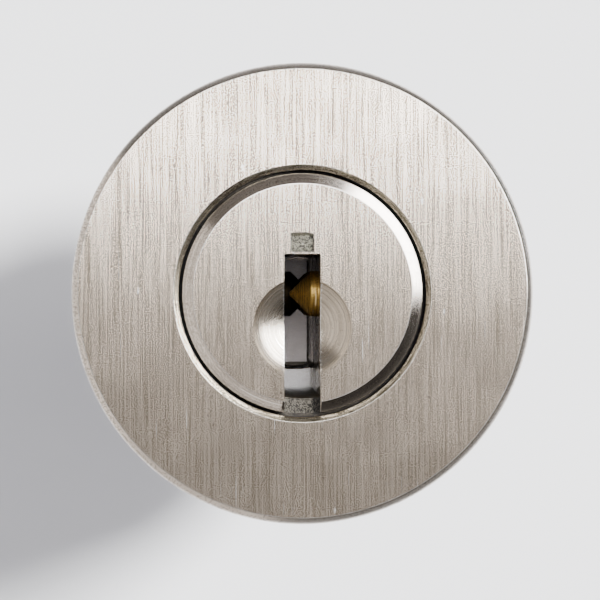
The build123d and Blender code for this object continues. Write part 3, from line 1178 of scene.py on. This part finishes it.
    def build(self) -> None:
        """Builds the plug, cuts the keyway and holes, and rounds the keyway's mouth."""
        plug = piece("key_plug", turned_mesh(self.profile(), self.segments, False))
        keyway = block_mesh((-self.key_half, -1.2 * self.head_radius, PLUG_LOW.z - MM),
                            (self.key_half, self.key_top, FACE + MM))
        drills = []
        for side in Side:
            ledge = side.value * (self.shank_radius - self.collar_hole_depth)
            out = side.value * self.shank_radius * CUTTER_OVERRUN
            for number in PIN_NUMBERS:
                height, collar = axis_and_radius(f"key_pin_{side.word}_{number}")
                drills.append(rod_mesh(Vector((0, 0, height)), Vector((ledge, 0, height)),
                                       self.nose_hole_radius, 48))
                drills.append(rod_mesh(Vector((ledge, 0, height)), Vector((out, 0, height)),
                                       collar + RUNNING_CLEARANCE, 48))
        drills += guard_rods("plug_guard_pins", self.shank_radius, 32)
        drills.append(lock_hole(PLUG_LOW.z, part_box("cap_lock_spring")[1].z))
        cut(plug, [self.dish(), self.notch(), keyway] + drills)
        finishes = [BRUSHED_FACE, POLISHED_NICKEL, TURNED_DISH, ROUGH_NOTCH, BROACHED_BRASS, BORE_METAL,
                    BURNISHED_EDGE, GAP_PAINTED_SHADE]
        finished(plug, finishes, self.region)
        bevelled(plug, self.key_edge, self.front_key_edge, PlugSlot.BURNISHED)
        smoothed(plug)
        settle(plug, "plug", "nickel_plate", "plug")


# ---- pins and springs ----

BRASS_PIN = (0.56, 0.375, 0.11)
BRASS_SHADE = (0.22, 0.13, 0.035)
# Painted shade: the left row of key pins is coloured almost black, standing in for the shade they sit in inside
# the keyway.
LEFT_PIN_PAINTED_SHADE = (0.03, 0.022, 0.012)
LEFT_PIN_PAINTED_SHADE_DARK = (0.010, 0.007, 0.004)


def pin_place(side: Side, height: float) -> Matrix:
    """Matrix that lays a piece turned about Z along a pin's direction.

    Args:
        side: The pin's side.
        height: Height of the pin's axis.

    Returns:
        The placing matrix.
    """
    return Matrix.Translation((0, 0, height)) @ Matrix.Rotation(side.value * math.pi / 2, 4, "Y")


def helix_tree() -> Tree:
    """Builds the Geometry Nodes tree for a wound wire: coil springs with closed ends, and thread ridges.

    Returns:
        The tree, the same one each time.
    """
    name = "wound_wire"
    steps_per_turn = 36
    closed_pitch = 2.05
    if name in bpy.data.node_groups:
        return bpy.data.node_groups[name]
    tree = bpy.data.node_groups.new(name, "GeometryNodeTree")
    tree.is_modifier = True
    tree.interface.new_socket(name="Geometry", in_out="INPUT", socket_type="NodeSocketGeometry")
    for key, kind, value in (("Turns", "NodeSocketFloat", 6.0), ("Radius", "NodeSocketFloat", 0.001),
                             ("Length", "NodeSocketFloat", 0.005), ("Wire", "NodeSocketFloat", 0.0001),
                             ("Sides", "NodeSocketInt", 10), ("Closed Turns", "NodeSocketFloat", 1.0),
                             ("Start", "NodeSocketVector", (0, 0, 0)), ("Turn", "NodeSocketVector", (0, 0, 0)),
                             ("Metal", "NodeSocketMaterial", None)):
        made = tree.interface.new_socket(name=key, in_out="INPUT", socket_type=kind)
        if value is not None:
            made.default_value = value
    tree.interface.new_socket(name="Geometry", in_out="OUTPUT", socket_type="NodeSocketGeometry")
    sheet = NodeSheet(tree)
    start = tree.nodes.new("NodeGroupInput").outputs
    spiral = sheet.node("GeometryNodeCurveSpiral", {"Resolution": steps_per_turn, "Rotations": start["Turns"],
                                                    "Start Radius": start["Radius"], "End Radius": start["Radius"],
                                                    "Height": 0.0})
    factor = sheet.node("GeometryNodeSplineParameter").outputs["Factor"]
    turned = sheet.maths("MULTIPLY", factor, start["Turns"])
    lead = sheet.maths("MINIMUM", turned, start["Closed Turns"])
    last = sheet.maths("SUBTRACT", start["Turns"], start["Closed Turns"])
    tail = sheet.maths("MAXIMUM", sheet.maths("SUBTRACT", turned, last), 0.0)
    open_turns = sheet.maths("SUBTRACT", last, start["Closed Turns"])
    middle = sheet.maths("DIVIDE", sheet.maths("SUBTRACT", turned, start["Closed Turns"]), open_turns, clamp=True)
    pitch = sheet.maths("MULTIPLY", start["Wire"], closed_pitch)
    closed_rise = sheet.maths("MULTIPLY", sheet.maths("ADD", lead, tail), pitch)
    both_closed = sheet.maths("MULTIPLY", sheet.maths("MULTIPLY", start["Closed Turns"], pitch), 2.0)
    open_rise = sheet.maths("MULTIPLY", middle, sheet.maths("SUBTRACT", start["Length"], both_closed))
    rise = sheet.node("ShaderNodeCombineXYZ", {2: sheet.maths("ADD", closed_rise, open_rise)})
    lifted = sheet.node("GeometryNodeSetPosition", {"Geometry": spiral.outputs[0], "Offset": rise.outputs[0]})
    section = sheet.node("GeometryNodeCurvePrimitiveCircle", {"Resolution": start["Sides"],
                                                              "Radius": start["Wire"]})
    wire = sheet.node("GeometryNodeCurveToMesh", {"Curve": lifted.outputs[0], "Profile Curve": section.outputs[0],
                                                  "Fill Caps": True})
    placed = sheet.node("GeometryNodeTransform", {"Geometry": wire.outputs[0], "Translation": start["Start"],
                                                  "Rotation": start["Turn"]})
    real = sheet.node("GeometryNodeRealizeInstances", {0: placed.outputs[0]})
    metal = sheet.node("GeometryNodeSetMaterial", {"Geometry": real.outputs[0], "Material": start["Metal"]})
    end = tree.nodes.new("NodeGroupOutput")
    tree.links.new(metal.outputs[0], end.inputs[0])
    return tree


def grown(name: str, tree: Tree, values: dict[str, object]) -> bpy.types.Object:
    """Runs a Geometry Nodes tree on an empty mesh and keeps the result as a plain mesh.

    Args:
        name: Name of the piece.
        tree: The tree to run.
        values: Input name to value.

    Returns:
        The finished object.
    """
    found = bpy.data.objects.new(name, bpy.data.meshes.new(name))
    bpy.context.scene.collection.objects.link(found)
    modifier = found.modifiers.new("grow", "NODES")
    modifier.node_group = tree
    sockets = {s.name: s.identifier for s in tree.interface.items_tree if s.in_out == "INPUT"}
    for key, value in values.items():
        modifier[sockets[key]] = value
    baked(found)
    for face in found.data.polygons:
        face.use_smooth = True
    return found


@dataclass
class PinStack:
    """One pin chamber's moving parts: key pin, driver pin and spring."""

    side: Side
    number: int
    tip_round: float = 0.22 * MM
    edge: float = 0.15 * MM
    nose_radius: float = 1.4 * MM
    collar_length: float = 1.33 * MM
    neck_depth: float = 0.12 * MM
    neck_start: float = 0.25 * MM
    neck_end: float = 0.2 * MM
    corner_round: float = 0.03 * MM
    waist_low: float = 0.7 * MM
    waist_high: float = 1.0 * MM
    waist_depth: float = 0.1 * MM
    waist_slope: float = 0.08 * MM
    driver_floor: float = 1.1 * MM
    driver_wall: float = 0.45 * MM
    wire: float = 0.14 * MM
    coil_turns: float = 8.0

    def node(self, kind: str) -> str:
        """Names this stack's CAD node of a kind, such as key_pin."""
        return f"{kind}_{self.side.word}_{self.number}"

    def span(self, kind: str) -> tuple[float, float, float, float]:
        """Reads a node's place along the pin.

        Args:
            kind: Kind of node.

        Returns:
            Inner end, outer end, radius and height of the axis.
        """
        low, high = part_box(self.node(kind))
        ends = sorted((self.side.value * low.x, self.side.value * high.x))
        return ends[0], ends[1], (high.z - low.z) / 2, (high.z + low.z) / 2

    def key_pin(self) -> None:
        """Builds the cone-nosed key pin with a turned neck by its collar."""
        tip, end, collar, height = self.span("key_pin")
        foot = end - self.collar_length
        cone = tip + self.nose_radius - 0.41 * self.tip_round
        leg = self.tip_round * math.sqrt(0.5)
        nose = [(self.tip_round * math.sin(a), tip + self.tip_round * (1 - math.cos(a)))
                for a in (math.pi / 4 * k / 5 for k in range(6))]
        nose[0] = (0.0, tip)
        neck = self.nose_radius - self.neck_depth
        shaft = soften([(leg, nose[-1][1]), (self.nose_radius, cone), (self.nose_radius, foot - self.neck_start),
                        (neck, foot - self.neck_end), (neck, foot), (collar, foot), (collar, end - 3 * self.edge),
                        (collar - 2 * self.edge, end - self.edge), (0.0, end)], self.corner_round, closed=False)
        made = turned_mesh(nose + shaft[1:], 64, False, pin_place(self.side, height))
        found = piece(f"{self.node('key_pin')}_turned", made)
        # The left row's near-black colour is painted shade.
        colour, shade = (LEFT_PIN_PAINTED_SHADE, LEFT_PIN_PAINTED_SHADE_DARK) if self.side is Side.LEFT else (BRASS_PIN, BRASS_SHADE)
        finish = MetalFinish(f"turned_brass_{self.side.word}_{self.number}", colour, shade, (0.95, 0.80, 0.50),
                             roughness=0.50, across=13000.0, along=60.0, depth=0.000003, film=0.9,
                             centre=(0.0, 0.0, height), turn=PIN_TURN[self.side])
        dress(found, [finish])
        settle(found, self.node("key_pin"), "pin_brass", self.node("key_pin"))

    def driver_pin(self) -> None:
        """Builds the cup-shaped driver pin."""
        foot, end, radius, height = self.span("driver_pin")
        cup = radius - self.driver_wall
        waist = radius - self.waist_depth
        low, high = foot + self.waist_low, foot + self.waist_high
        cup_floor = foot + self.driver_floor
        profile = soften([(0.0, foot), (radius - self.edge, foot), (radius, foot + self.edge), (radius, low),
                          (waist, low + self.waist_slope), (waist, high), (radius, high + self.waist_slope),
                          (radius, end - self.edge), (radius - self.edge, end), (cup, end), (cup, cup_floor),
                          (0.0, cup_floor)], self.corner_round, closed=False)
        found = piece(f"{self.node('driver_pin')}_turned",
                      turned_mesh(profile, 48, False, pin_place(self.side, height)))
        finish = MetalFinish(f"turned_steel_{self.side.word}_{self.number}", (0.52, 0.52, 0.53),
                             (0.36, 0.36, 0.37), (0.85, 0.85, 0.86), roughness=0.24, across=8000.0,
                             along=60.0, depth=0.000003, film=0.5, centre=(0.0, 0.0, height),
                             turn=PIN_TURN[self.side])
        dress(found, [finish])
        settle(found, self.node("driver_pin"), "pin_steel", self.node("driver_pin"))

    def spring(self) -> None:
        """Winds the coil spring and fixes it to the housing."""
        foot, end, radius, height = self.span("spring")
        room = end - foot
        found = grown(f"{self.node('spring')}_wound", helix_tree(), {
            "Turns": self.coil_turns, "Radius": radius - self.wire, "Length": room - 2 * self.wire,
            "Wire": self.wire, "Sides": 10, "Closed Turns": 1.0,
            "Start": (self.side.value * (foot + self.wire), 0.0, height),
            "Turn": (0.0, self.side.value * math.pi / 2, 0.0), "Metal": SPRING_WIRE.material()})
        joint = f"{self.node('driver_pin')}_lift"
        settle(found, "housing", "spring_steel", self.node("spring"))
        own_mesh(found)

    def build(self) -> None:
        """Builds the whole stack."""
        self.key_pin()
        self.driver_pin()
        self.spring()


SPRING_WIRE = MetalFinish(
    "drawn_spring_wire", (0.50, 0.50, 0.51), (0.30, 0.30, 0.31), (0.85, 0.85, 0.87), roughness=0.25,
    grain=Grain.CAST, across=9000.0, depth=0.000001, film=0.3)
PRESSED_PLUG = MetalFinish(
    "pressed_brass_plug", (0.66, 0.56, 0.40), (0.46, 0.38, 0.27), (0.9, 0.82, 0.66), roughness=0.3,
    across=8000.0, along=90.0, depth=0.000003, film=0.7)
HARD_STEEL = MetalFinish(
    "hardened_steel", (0.30, 0.30, 0.31), (0.16, 0.16, 0.17), (0.7, 0.7, 0.72), roughness=0.32,
    grain=Grain.CAST, across=6000.0, depth=0.000002, film=0.6)
# Painted light: the washer's top face, seen at the far end of the keyway, is coloured near white and bluish so it
# shows as the bright patch there; its sides keep plain punched steel.
WASHER_TOP_PAINTED_LIGHT = MetalFinish(
    "punched_bright_steel", (0.95, 0.95, 1.0), (0.86, 0.86, 0.92), (0.98, 0.98, 0.99), roughness=0.18,
    roughness_spread=0.05, grain=Grain.CAST, across=1800.0, depth=0.000001, film=0.25)
PUNCHED_RIM = MetalFinish(
    "punched_steel_rim", (0.46, 0.46, 0.48), (0.30, 0.30, 0.32), (0.85, 0.85, 0.87), roughness=0.3,
    grain=Grain.BROACHED, across=6000.0, along=600.0, depth=0.000004, film=0.7)
CAP_NICKEL = MetalFinish(
    "turned_cap_nickel", (0.40, 0.378, 0.345), (0.25, 0.234, 0.21), NICKEL_BRIGHT, roughness=0.25, across=14000.0,
    along=80.0, depth=0.000004, film=0.8)
# Partly painted light: the zinc plating is real, but the head's near-white lavender colour makes it show as the
# bright patch down the keyway; the shank has the plainer zinc colour.
BAR_HEAD_PAINTED_LIGHT = MetalFinish(
    "zinc_plated_bar", (0.93, 0.90, 0.95), (0.84, 0.81, 0.87), (0.95, 0.95, 0.99), roughness=0.21,
    roughness_spread=0.04, grain=Grain.CAST, across=1400.0, depth=0.000001, film=0.25)
ZINC_SIDE = MetalFinish(
    "handled_zinc_bar", (0.50, 0.49, 0.53), (0.30, 0.295, 0.33), (0.85, 0.85, 0.90), roughness=0.3,
    roughness_spread=0.14, grain=Grain.CAST, across=2400.0, depth=0.000003, film=1.0)


@dataclass
class ChamberPlugs:
    """The row of pressed plugs that close one side's pin chambers."""

    side: Side
    rim: float = 0.06 * MM
    press_fit: float = 0.03 * MM
    sunk: float = 0.02 * MM
    crown: float = 0.04 * MM
    dimple: float = 0.45 * MM
    dimple_depth: float = 0.12 * MM

    def build(self) -> None:
        """Builds the plugs and rounds their rims, just below the body's surface."""
        node = f"chamber_plugs_{self.side.word}"
        inner = min(abs(v) for v in (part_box(node)[0].x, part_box(node)[1].x))
        parts = []
        for number in PIN_NUMBERS:
            height, radius = axis_and_radius(f"driver_pin_{self.side.word}_{number}")
            radius += self.press_fit
            top = math.sqrt(BODY_RADIUS**2 - radius**2) - self.sunk
            profile = soften([(0.0, inner), (radius, inner), (radius, top), (self.dimple, top + self.crown),
                              (0.0, top - self.dimple_depth)], self.rim, closed=False)
            parts.append(turned_mesh(profile, 40, False, pin_place(self.side, height)))
        found = piece(f"{node}_pressed", joined(parts))
        dress(found, [PRESSED_PLUG])
        settle(found, "housing", "plated_plugs", node)


@dataclass
class TailEnd:
    """The back of the lock: thrust washer, screwed cap, tail bar, and the sprung pin that locks the cap."""

    cap_edge: float = 0.4 * MM
    cap_floor: float = 1.5 * MM
    thread_radius: float = 5.02 * MM
    slot_gap: float = 0.17 * MM
    ribs: int = 60
    rib_depth: float = 0.12 * MM
    bar_edge: float = 0.04 * MM
    bar_thickness: float = 1.6 * MM
    bar_half_width: float = 4.0 * MM
    bar_head: float = 1.6 * MM
    bar_tip: float = 0.8 * MM
    bar_tip_ease: Point2 = (0.25 * MM, 0.6 * MM)
    snap_depth: float = 0.35 * MM
    snap_pitch: float = 5.0 * MM
    snap_end: float = 12.0 * MM
    snap_count: int = 8
    cutter_past: float = 0.5 * MM
    lock_edge: float = 0.15 * MM
    lock_wire: float = 0.08 * MM
    lock_turns: float = 8.0

    def washer(self) -> None:
        """Builds the thrust washer with the rounded and the sharp rim that punching leaves."""
        low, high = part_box("thrust_washer")
        profile = soften([(self.thread_radius, low.z), (high.x, low.z), (high.x, high.z),
                          (self.thread_radius, high.z)], 0.1 * MM)
        found = piece("thrust_washer_punched", turned_mesh(profile, 128, True))
        # Top face in the near-white painted light, sides in plain steel.
        dress(found, [WASHER_TOP_PAINTED_LIGHT, PUNCHED_RIM], lambda centre, normal: 0 if normal.z > 0.9 else 1)
        settle(found, "plug", "bright_steel", "thrust_washer")

    def cap(self) -> None:
        """Builds the cap with a knurled rim, its bar slot and the lock pin's hole."""
        low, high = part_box("tail_cap")
        inner_floor = low.z + self.cap_floor
        radius = high.x
        profile = soften([(0.0, low.z), (radius - self.cap_edge, low.z), (radius, low.z + self.cap_edge),
                          (radius, low.z + 2 * self.cap_edge), (radius, high.z - 2 * self.cap_edge),
                          (radius, high.z - 0.2 * self.cap_edge), (radius - 0.2 * self.cap_edge, high.z),
                          (self.thread_radius, high.z), (self.thread_radius, inner_floor), (0.0, inner_floor)],
                         0.06 * MM, closed=False)
        made = turned_mesh(profile, self.ribs * 6, False)
        for vert in made.verts:
            if math.hypot(vert.co.x, vert.co.y) > radius - 0.001 * MM \
                    and low.z + 1.9 * self.cap_edge < vert.co.z < high.z - 1.9 * self.cap_edge:
                wave = 0.5 - 0.5 * math.cos(self.ribs * math.atan2(vert.co.y, vert.co.x))
                vert.co.xy *= 1 - self.rib_depth * wave / radius
        found = piece("tail_cap_knurled", made)
        half_bar = self.bar_half_width + self.slot_gap
        half_slot = self.bar_thickness / 2 + self.slot_gap
        past = inner_floor + self.cutter_past
        slot = block_mesh((-half_slot, -half_bar, low.z - MM), (half_slot, half_bar, past))
        hole = lock_hole(low.z, past)
        cut(found, [slot, hole])
        dress(found, [CAP_NICKEL])
        settle(found, "plug", "cap_plate", "tail_cap")

    def bar(self) -> None:
        """Builds the tail bar: head, snap-off grooves and eased tip, with sheared edges."""
        low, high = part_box("tail_bar")
        half_head_thick, half_head, half_wide = high.x, high.y, self.bar_half_width
        half_thick = self.bar_thickness / 2
        head_foot = high.z - self.bar_head
        levels = [(low.z, half_thick - self.bar_tip_ease[0], half_wide - self.bar_tip_ease[1]),
                  (low.z + self.bar_tip, half_thick, half_wide)]
        for k in range(self.snap_count):
            groove = low.z + self.snap_end + k * self.snap_pitch
            levels += [(groove - self.snap_depth, half_thick, half_wide),
                       (groove, half_thick - self.snap_depth, half_wide),
                       (groove + self.snap_depth, half_thick, half_wide)]
        levels += [(head_foot, half_thick, half_wide), (head_foot, half_head_thick, half_head),
                   (high.z, half_head_thick, half_head)]
        made = bmesh.new()
        rings = [[made.verts.new((sx * hx, sy * hy, z)) for sx, sy in ((1, 1), (-1, 1), (-1, -1), (1, -1))]
                 for z, hx, hy in levels]
        for one, other in zip(rings, rings[1:]):
            for k in range(4):
                made.faces.new((one[k], one[(k + 1) % 4], other[(k + 1) % 4], other[k]))
        made.faces.new(rings[0])
        made.faces.new(rings[-1])
        bmesh.ops.recalc_face_normals(made, faces=made.faces)
        found = piece("tail_bar_sheared", made)
        modifier = found.modifiers.new("edges", "BEVEL")
        modifier.width = self.bar_edge
        modifier.segments = 3
        modifier.limit_method = "ANGLE"
        modifier.angle_limit = math.radians(30)
        baked(found)
        # Head in the near-white painted light, shank in plain zinc.
        dress(found, [BAR_HEAD_PAINTED_LIGHT, ZINC_SIDE], lambda centre, normal: 0 if centre.z > head_foot else 1)
        settle(found, "tail_bar", "zinc_plate", "tail_bar")

    def lock(self) -> None:
        """Builds the cap's lock pin and its spring."""
        low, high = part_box("cap_lock_pin")
        radius, across = (high.x - low.x) / 2, (high.x + low.x) / 2
        profile = soften([(0.0, low.z), (radius - self.lock_edge, low.z), (radius, low.z + self.lock_edge),
                          (radius, high.z), (0.0, high.z)], 0.04 * MM, closed=False)
        found = piece("cap_lock_pin_ground", turned_mesh(profile, 40, False, Matrix.Translation((across, 0, 0))))
        dress(found, [HARD_STEEL])
        settle(found, "cap_lock_pin", "hardened_steel", "cap_lock_pin")
        low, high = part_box("cap_lock_spring")
        wire = self.lock_wire
        room = high.z - low.z
        coil = grown("cap_lock_spring_wound", helix_tree(), {
            "Turns": self.lock_turns, "Radius": (high.x - low.x) / 2 - wire,
            "Length": room - 2 * wire, "Wire": wire, "Sides": 8, "Closed Turns": 1.0,
            "Start": (across, 0.0, low.z + wire), "Turn": (0.0, 0.0, 0.0), "Metal": SPRING_WIRE.material()})
        settle(coil, "plug", "spring_steel", "cap_lock_spring")
        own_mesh(coil)

    def build(self) -> None:
        """Builds every piece at the back."""
        self.washer()
        self.cap()
        self.bar()
        self.lock()


def dress_guard_pins() -> None:
    """Gives the hardened guard pins, kept as the frame has them, their steel."""
    for node in ("housing_guard_pins", "plug_guard_pins"):
        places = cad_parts[node].material_slots
        for place in places:
            place.material = HARD_STEEL.material()
        LOG.info("%s: kept, %d slot in hardened steel", node, len(places))


# ---- studio ----


@dataclass(frozen=True)
class Card:
    """A soft card round the horizon: where it stands clockwise from +Y, how wide and high, and how bright."""

    azimuth: float
    half_width: float
    low: float
    high: float
    strength: float
    colour: Colour = (1.0, 1.0, 1.0)
    softness: float = 4.0


@dataclass
class Studio:
    """Pale floor, key light, face light, surroundings with soft cards, and the camera.

    The key light is hidden from reflections and the face light shows only in them. Spans are heights of the view
    direction, as its Z.
    """

    floor_colour: Colour = (0.875, 0.88, 0.89)
    floor_reach: float = 0.7
    key_tilt: float = 0.30
    key_way: Point2 = (0.897, 0.44)
    key_distance: float = 0.9
    key_size: float = 0.10
    key_power: float = 27.0
    backdrop: Colour = (0.80, 0.805, 0.815)
    dark: Colour = (0.05, 0.045, 0.04)
    horizon: Colour = (0.27, 0.265, 0.26)
    horizon_span: Point2 = (0.37, 0.56)
    ceiling: Colour = (0.345, 0.335, 0.325)
    ceiling_span: Point2 = (0.89, 0.95)
    card_foot_softness: float = 3.0
    card_top_softness: float = 8.0
    ambient: Colour = (0.415, 0.405, 0.445)
    face_light_height: float = 80.0 * MM
    face_light_size: Point2 = (100.0 * MM, 55.0 * MM)
    face_light_edge: float = 8.0 * MM
    face_light_right: float = 22.0 * MM
    face_light_power: float = 0.15
    camera_place: Point3 = (-4.54 * MM, -0.58 * MM, 243.0 * MM)
    camera_aim: Point2 = (-0.152 * MM, -0.396 * MM)
    view_width: float = 36.36 * MM
    cards: tuple[Card, ...] = field(default_factory=lambda: (
        Card(57.5, 30.5, 14.0, 62.0, 18.0),
        Card(342.0, 35.0, 28.0, 62.0, 0.20, (1.0, 0.90, 0.82)),
        Card(248.0, 58.0, -20.0, 62.0, 1.25, (1.0, 0.93, 0.86)),
        Card(208.0, 20.0, -20.0, 62.0, 0.92, (1.0, 0.93, 0.86), 8.0),
    ))

    def floor(self) -> None:
        """Makes the round pale floor that the tail bar's tip stands on."""
        made = bmesh.new()
        bmesh.ops.create_circle(made, cap_ends=True, segments=96, radius=self.floor_reach)
        bmesh.ops.transform(made, matrix=Matrix.Translation((0, 0, CAD_BOX[0].z - 0.00002)), verts=made.verts)
        found = piece("pale_floor", made)
        surface = bpy.data.materials.new("pale_floor")
        surface.use_nodes = True
        surface.node_tree.nodes.clear()
        sheet = NodeSheet(surface.node_tree)
        place = sheet.node("ShaderNodeTexCoord").outputs["Object"]
        tooth = sheet.noise(place, 1800.0, 4.0, 0.6)
        tint = sheet.blend(tooth, tuple(0.985 * c for c in self.floor_colour), self.floor_colour)
        shader = sheet.node("ShaderNodeBsdfPrincipled", {"Base Color": tint, "Roughness": 0.85})
        sheet.node("ShaderNodeOutputMaterial", {"Surface": shader.outputs[0]})
        found.data.materials.append(surface)

    def key_light(self) -> None:
        """Makes the key light, which leans towards +X and +Y and throws the soft shadow."""
        light = bpy.data.lights.new("key", "AREA")
        light.shape = "DISK"
        light.size = self.key_size
        light.energy = self.key_power
        found = bpy.data.objects.new("key", light)
        way = Vector((self.key_way[0] * self.key_tilt, self.key_way[1] * self.key_tilt, 1.0)).normalized()
        found.location = way * self.key_distance
        found.rotation_euler = way.to_track_quat("Z", "Y").to_euler()
        found.visible_camera = False
        found.visible_glossy = False
        bpy.context.scene.collection.objects.link(found)

    def face_light(self) -> None:
        """Makes the low soft light past the face's upper half, seen only in the metal."""
        light = bpy.data.lights.new("face_light", "AREA")
        light.shape = "RECTANGLE"
        light.size, light.size_y = self.face_light_size
        light.energy = self.face_light_power
        found = bpy.data.objects.new("face_light", light)
        found.location = (self.face_light_right, self.face_light_edge + light.size_y / 2,
                          FACE + self.face_light_height)
        found.visible_camera = False
        found.visible_diffuse = False
        bpy.context.scene.collection.objects.link(found)

    def surroundings(self) -> None:
        """Makes the surroundings: soft cards round the horizon and an even ceiling."""
        world = bpy.data.worlds.new("studio")
        bpy.context.scene.world = world
        world.use_nodes = True
        world.node_tree.nodes.clear()
        sheet = NodeSheet(world.node_tree)
        flat, height = sheet.split(sheet.node("ShaderNodeTexCoord").outputs["Generated"])
        level = sheet.vectors("NORMALIZE", flat).outputs["Vector"]
        light = sheet.blend(sheet.ramp(height, *self.horizon_span), self.horizon, self.dark)
        for card in self.cards:
            turn = math.radians(card.azimuth)
            towards = sheet.vectors("DOT_PRODUCT", level, (math.sin(turn), math.cos(turn), 0.0)).outputs["Value"]
            sides = sheet.ramp(towards, math.cos(math.radians(card.half_width + card.softness)),
                               math.cos(math.radians(card.half_width - card.softness)))
            above = sheet.ramp(height, math.sin(math.radians(card.low - self.card_foot_softness)),
                               math.sin(math.radians(card.low + self.card_foot_softness)))
            below = sheet.ramp(height, math.sin(math.radians(card.high - self.card_top_softness)),
                               math.sin(math.radians(card.high + self.card_top_softness)), 1.0, 0.0)
            mask = sheet.maths("MULTIPLY", sides, sheet.maths("MULTIPLY", above, below))
            light = sheet.blend(mask, light, tuple(card.strength * c for c in card.colour))
        light = sheet.blend(sheet.ramp(height, *self.ceiling_span), light, self.ceiling)
        path = sheet.node("ShaderNodeLightPath")
        light = sheet.blend(path.outputs["Is Diffuse Ray"], light, self.ambient)
        shown = sheet.blend(path.outputs["Is Camera Ray"], light, self.backdrop)
        back = sheet.node("ShaderNodeBackground", {"Color": shown, "Strength": 1.0})
        sheet.node("ShaderNodeOutputWorld", {"Surface": back.outputs[0]})

    def camera(self) -> None:
        """Makes the camera, almost straight above the keyhole face."""
        lens = bpy.data.cameras.new("camera")
        found = bpy.data.objects.new("camera", lens)
        x, y, distance = self.camera_place
        found.location = (x, y, FACE + distance)
        aim = Vector((*self.camera_aim, FACE)) - found.location
        right = aim.cross(Vector((0, 1, 0))).normalized()
        up = right.cross(aim).normalized()
        found.rotation_euler = Matrix((right, up, -aim.normalized())).transposed().to_euler()
        lens.sensor_width = 36.0
        lens.lens = lens.sensor_width * aim.length / self.view_width
        lens.clip_start, lens.clip_end = 0.01, 10.0
        bpy.context.scene.collection.objects.link(found)
        bpy.context.scene.camera = found

    def build(self) -> None:
        """Builds the whole studio."""
        self.floor()
        self.key_light()
        self.face_light()
        self.surroundings()
        self.camera()


def main() -> None:
    """Builds the lock, piece by piece, and the studio round it."""
    logging.basicConfig(level=logging.INFO, format="%(name)s %(message)s")
    Housing().build()
    Plug().build()
    for side in Side:
        for number in PIN_NUMBERS:
            PinStack(side, number).build()
        ChamberPlugs(side).build()
    TailEnd().build()
    dress_guard_pins()
    Studio().build()


if __name__ == "__main__":
    main()
